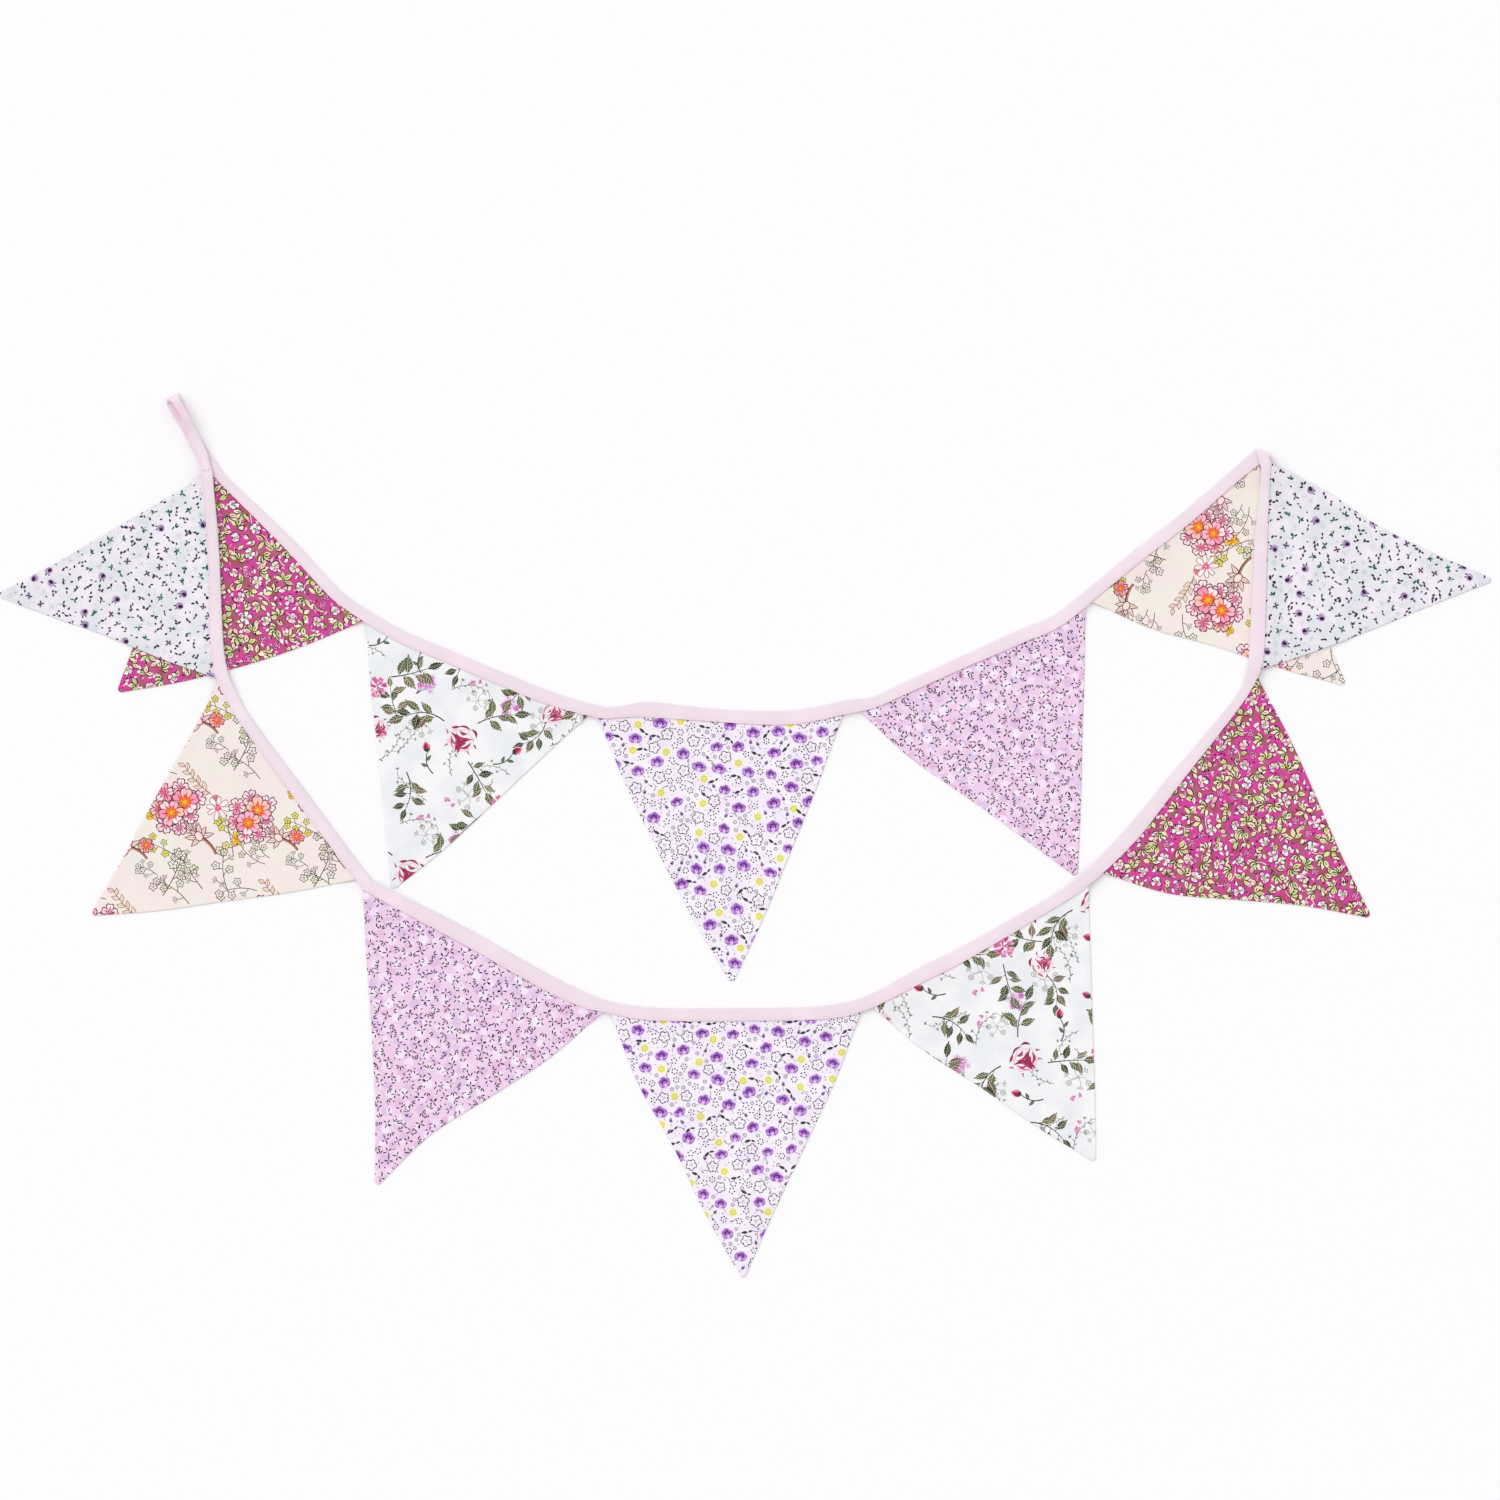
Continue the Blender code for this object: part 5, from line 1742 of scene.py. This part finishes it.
def long_daisy(rng):
    edge = linear("a05a6c")
    made = inked_petals(rng, 8, 10.5, 4.4, tints("fdecee fef5f2"), edge, 0.55, 0.05)
    for k in range(11):
        made += turned([(blade(rng.uniform(2.6, 4.6), 1.2, 2), linear("e8508f"))],
                       angle=k * 0.571 + rng.uniform(-0.1, 0.1))
    made.append((disc(1.0, 6), linear("f6c24a")))
    return made


def coral_bloom(rng):
    made = inked_petals(rng, 5, 7.5, 6.2, tints("f9b0a8 f79a9c"), EDGE, deep=linear("e94a6a"))
    return made + orange_heart(rng, 2.6)


def trumpet(_):
    line = linear("9a6426")
    made = []
    for a, size in ((-0.5, 9.0), (0.45, 8.0), (0.0, 11.0)):
        made += turned([(blade(size, 4.1, 4, 0.6), line),
                        (blade(size - 0.9, 2.9, 4, 0.6), linear("f7c93e"))], (0, 0), a)
    made += [(blade(7.0, 2.0, 3, 0.4), linear("ee9a30")),
             (stroke([(0, 1), (0, 8.5)], 0.5), line),
             (stroke(bow(0, 0.5, -2.5, -8, 0.12, 4), 0.9), line)]
    return made


# The repeat of the blossom print: what it is, where, its turn in degrees and its size.
BLOSSOM_CHART = [
    ("posy", (30, 78), 0, 1.12), ("posy", (78, 38), 14, 1.04), ("chain", (58, 78), 8, 1.0),
    ("daisy", (56, 66), 0, 1.0), ("spray", (8, 18), 0, 0.95), ("spray", (24, 4), -28, 0.9),
    ("spray", (84, 84), -60, 1.0), ("spray", (98, 66), 20, 0.9), ("sunny", (44, 26), -20, 0.9),
    ("sunny", (6, 52), 30, 0.8), ("trumpet", (53, 40), 190, 1.0), ("trumpet", (8, 88), 20, 0.9),
    ("spray", (44, 108), 60, 0.85), ("mini", (68, 8), 0, 0.9), ("mini", (16, 36), 80, 0.8),
    ("spray", (62, 6), 15, 0.8), ("coral", (96, 10), 0, 0.9), ("mini", (90, 100), 30, 0.9),
]
BLOSSOM_TILE = (106.0, 116.0, 52.0)


BLOSSOM_ITEMS = {
    "spray": (0, flower_spray), "sunny": (0, lambda rng: flower_spray(rng, yellow=True)),
    "mini": (0, lambda rng: turned(flower_spray(rng, 24.0), size=0.8)),
    "chain": (1, leafy_chain), "trumpet": (2, trumpet), "daisy": (3, long_daisy),
    "coral": (4, coral_bloom), "posy": (5, posy),
}


def blossom_print(field, _):
    return charted(field, BLOSSOM_CHART, BLOSSOM_ITEMS, BLOSSOM_TILE, 38, 90)


PRINTS = {"berry": berry_print, "lilac": lilac_print, "poppy": poppy_print, "bud": bud_print,
          "rose": rose_print, "blossom": blossom_print}
GROUND = {
    "berry": linear("d4459c"), "rose": linear("f6f4f6"), "poppy": linear("f8f1fa"),
    "lilac": linear("f0d4eb"), "blossom": linear("f4ebe6"), "bud": linear("f1ecf3"),
}
# How the ground's colour drifts: how fine, and between which two tints.
WASH = {
    "berry": (60, (1.0, 0.96, 1.0), (0.96, 1.0, 0.96)),
    "rose": (38, (0.89, 0.925, 0.945), (1.0, 1.0, 1.0)),
    "poppy": (55, (0.95, 0.915, 0.97), (1.0, 1.0, 1.0)),
    "lilac": (50, (0.965, 0.915, 0.965), (1.0, 1.0, 1.0)),
    "blossom": (24, (1.0, 0.93, 0.96), (0.965, 0.99, 0.945)),
    "bud": (62, (0.84, 0.90, 0.89), (1.0, 0.97, 1.0)),
}
# How the fabric's own upright lies on each pennant, in degrees from its head, and where its
# repeat starts.
CUT = {
    "flag_01_berry": (20, (0, 0)), "flag_07_berry": (-160, (0, 0)),
    "flag_02_rose": (0, (40, 118)), "flag_08_rose": (15, (84, 150)),
    "flag_03_poppy": (0, (0, 0)), "flag_09_poppy": (0, (0, 0)),
    "flag_04_lilac": (0, (0, 0)), "flag_10_lilac": (0, (0, 0)),
    "flag_05_blossom": (90, (96, 62)), "flag_11_blossom": (90, (8, -12)),
    "flag_06_bud": (0, (0, 0)), "flag_12_bud": (0, (0, 0)),
}


def drawing_for(flag, cloth, seed):
    kind = flag.name.split("_")[-1]
    field = Field(cloth, *CUT[flag.name])
    return field.plan(PRINTS[kind](field, random.Random(seed)))


# ---------------------------------------------------------------- building

CLOTH_SEED, PRINT_SEED = 100, 500


def build():
    chain, lower, upper, ride = layout()
    tape, stations, travel = tape_mesh(chain, cotton("binding_cotton", 0.3, vary=0.04))
    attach(tape, "root")
    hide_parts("tape")
    thread = stitching(stations, travel, cotton("binding_thread", 0.3, weave=0.0003, vary=0.02,
                                                colour=linear("efdbe4")))
    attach(thread, "root")

    for number, flag in enumerate(FLAGS):
        kind = flag.name.split("_")[-1]
        ribbon = lower if flag.run == "lower" else upper
        under = level(0) if flag.run == "lower" else ride
        cloth = Cloth(flag, ribbon, under, CLOTH_SEED + number)
        angle = -math.atan2(cloth.along[1], cloth.along[0])
        material = cotton(flag.name + "_cotton", angle, wash=WASH[kind])
        drawing = drawing_for(flag, cloth, PRINT_SEED + number)
        item = flag_mesh(cloth, GROUND[kind], drawing, material)
        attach(item, "root")
        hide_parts(flag.name)


FLOOR_HALF, FLOOR_DROP = 6.0, 0.0001
SKY = 0.78
KEY_AT, KEY_ENERGY, KEY_ANGLE = (-1.6, 1.9, 2.6), 1.1, 50
CAMERA_AT = (0.00412, 0.06952, 6.0)
PICTURE_WIDTH = 1.23         # metres across the picture, at the floor
SENSOR = 36.0


def floor_and_light():
    half, down = FLOOR_HALF, -FLOOR_DROP
    mesh = bpy.data.meshes.new("floor")
    mesh.from_pydata([(-half, -half, down), (half, -half, down), (half, half, down),
                      (-half, half, down)], [], [(0, 1, 2, 3)])
    floor = bpy.data.objects.new("floor", mesh)
    bpy.context.scene.collection.objects.link(floor)
    material = bpy.data.materials.new("floor_white")
    material.use_nodes = True
    shader = material.node_tree.nodes["Principled BSDF"]
    shader.inputs["Base Color"].default_value = (0.96, 0.95, 0.96, 1)
    shader.inputs["Roughness"].default_value = 0.8
    mesh.materials.append(material)

    world = bpy.data.worlds.new("studio")
    world.use_nodes = True
    sky = world.node_tree.nodes["Background"]
    sky.inputs["Color"].default_value = (1, 1, 1, 1)
    sky.inputs["Strength"].default_value = SKY
    bpy.context.scene.world = world

    light = bpy.data.lights.new("key", "SUN")
    light.energy = KEY_ENERGY
    light.angle = math.radians(KEY_ANGLE)
    item = bpy.data.objects.new("key", light)
    item.location = KEY_AT
    item.rotation_mode = "QUATERNION"
    item.rotation_quaternion = (-Vector(KEY_AT)).to_track_quat("-Z", "Y")
    bpy.context.scene.collection.objects.link(item)
    bpy.context.scene.view_settings.view_transform = "Standard"


def camera():
    data = bpy.data.cameras.new("camera")
    data.type = "PERSP"
    data.sensor_width = SENSOR
    data.lens = SENSOR * CAMERA_AT[2] / PICTURE_WIDTH
    data.clip_end = 50
    item = bpy.data.objects.new("camera", data)
    item.location = CAMERA_AT
    bpy.context.scene.collection.objects.link(item)
    bpy.context.scene.camera = item


camera()
build()
floor_and_light()
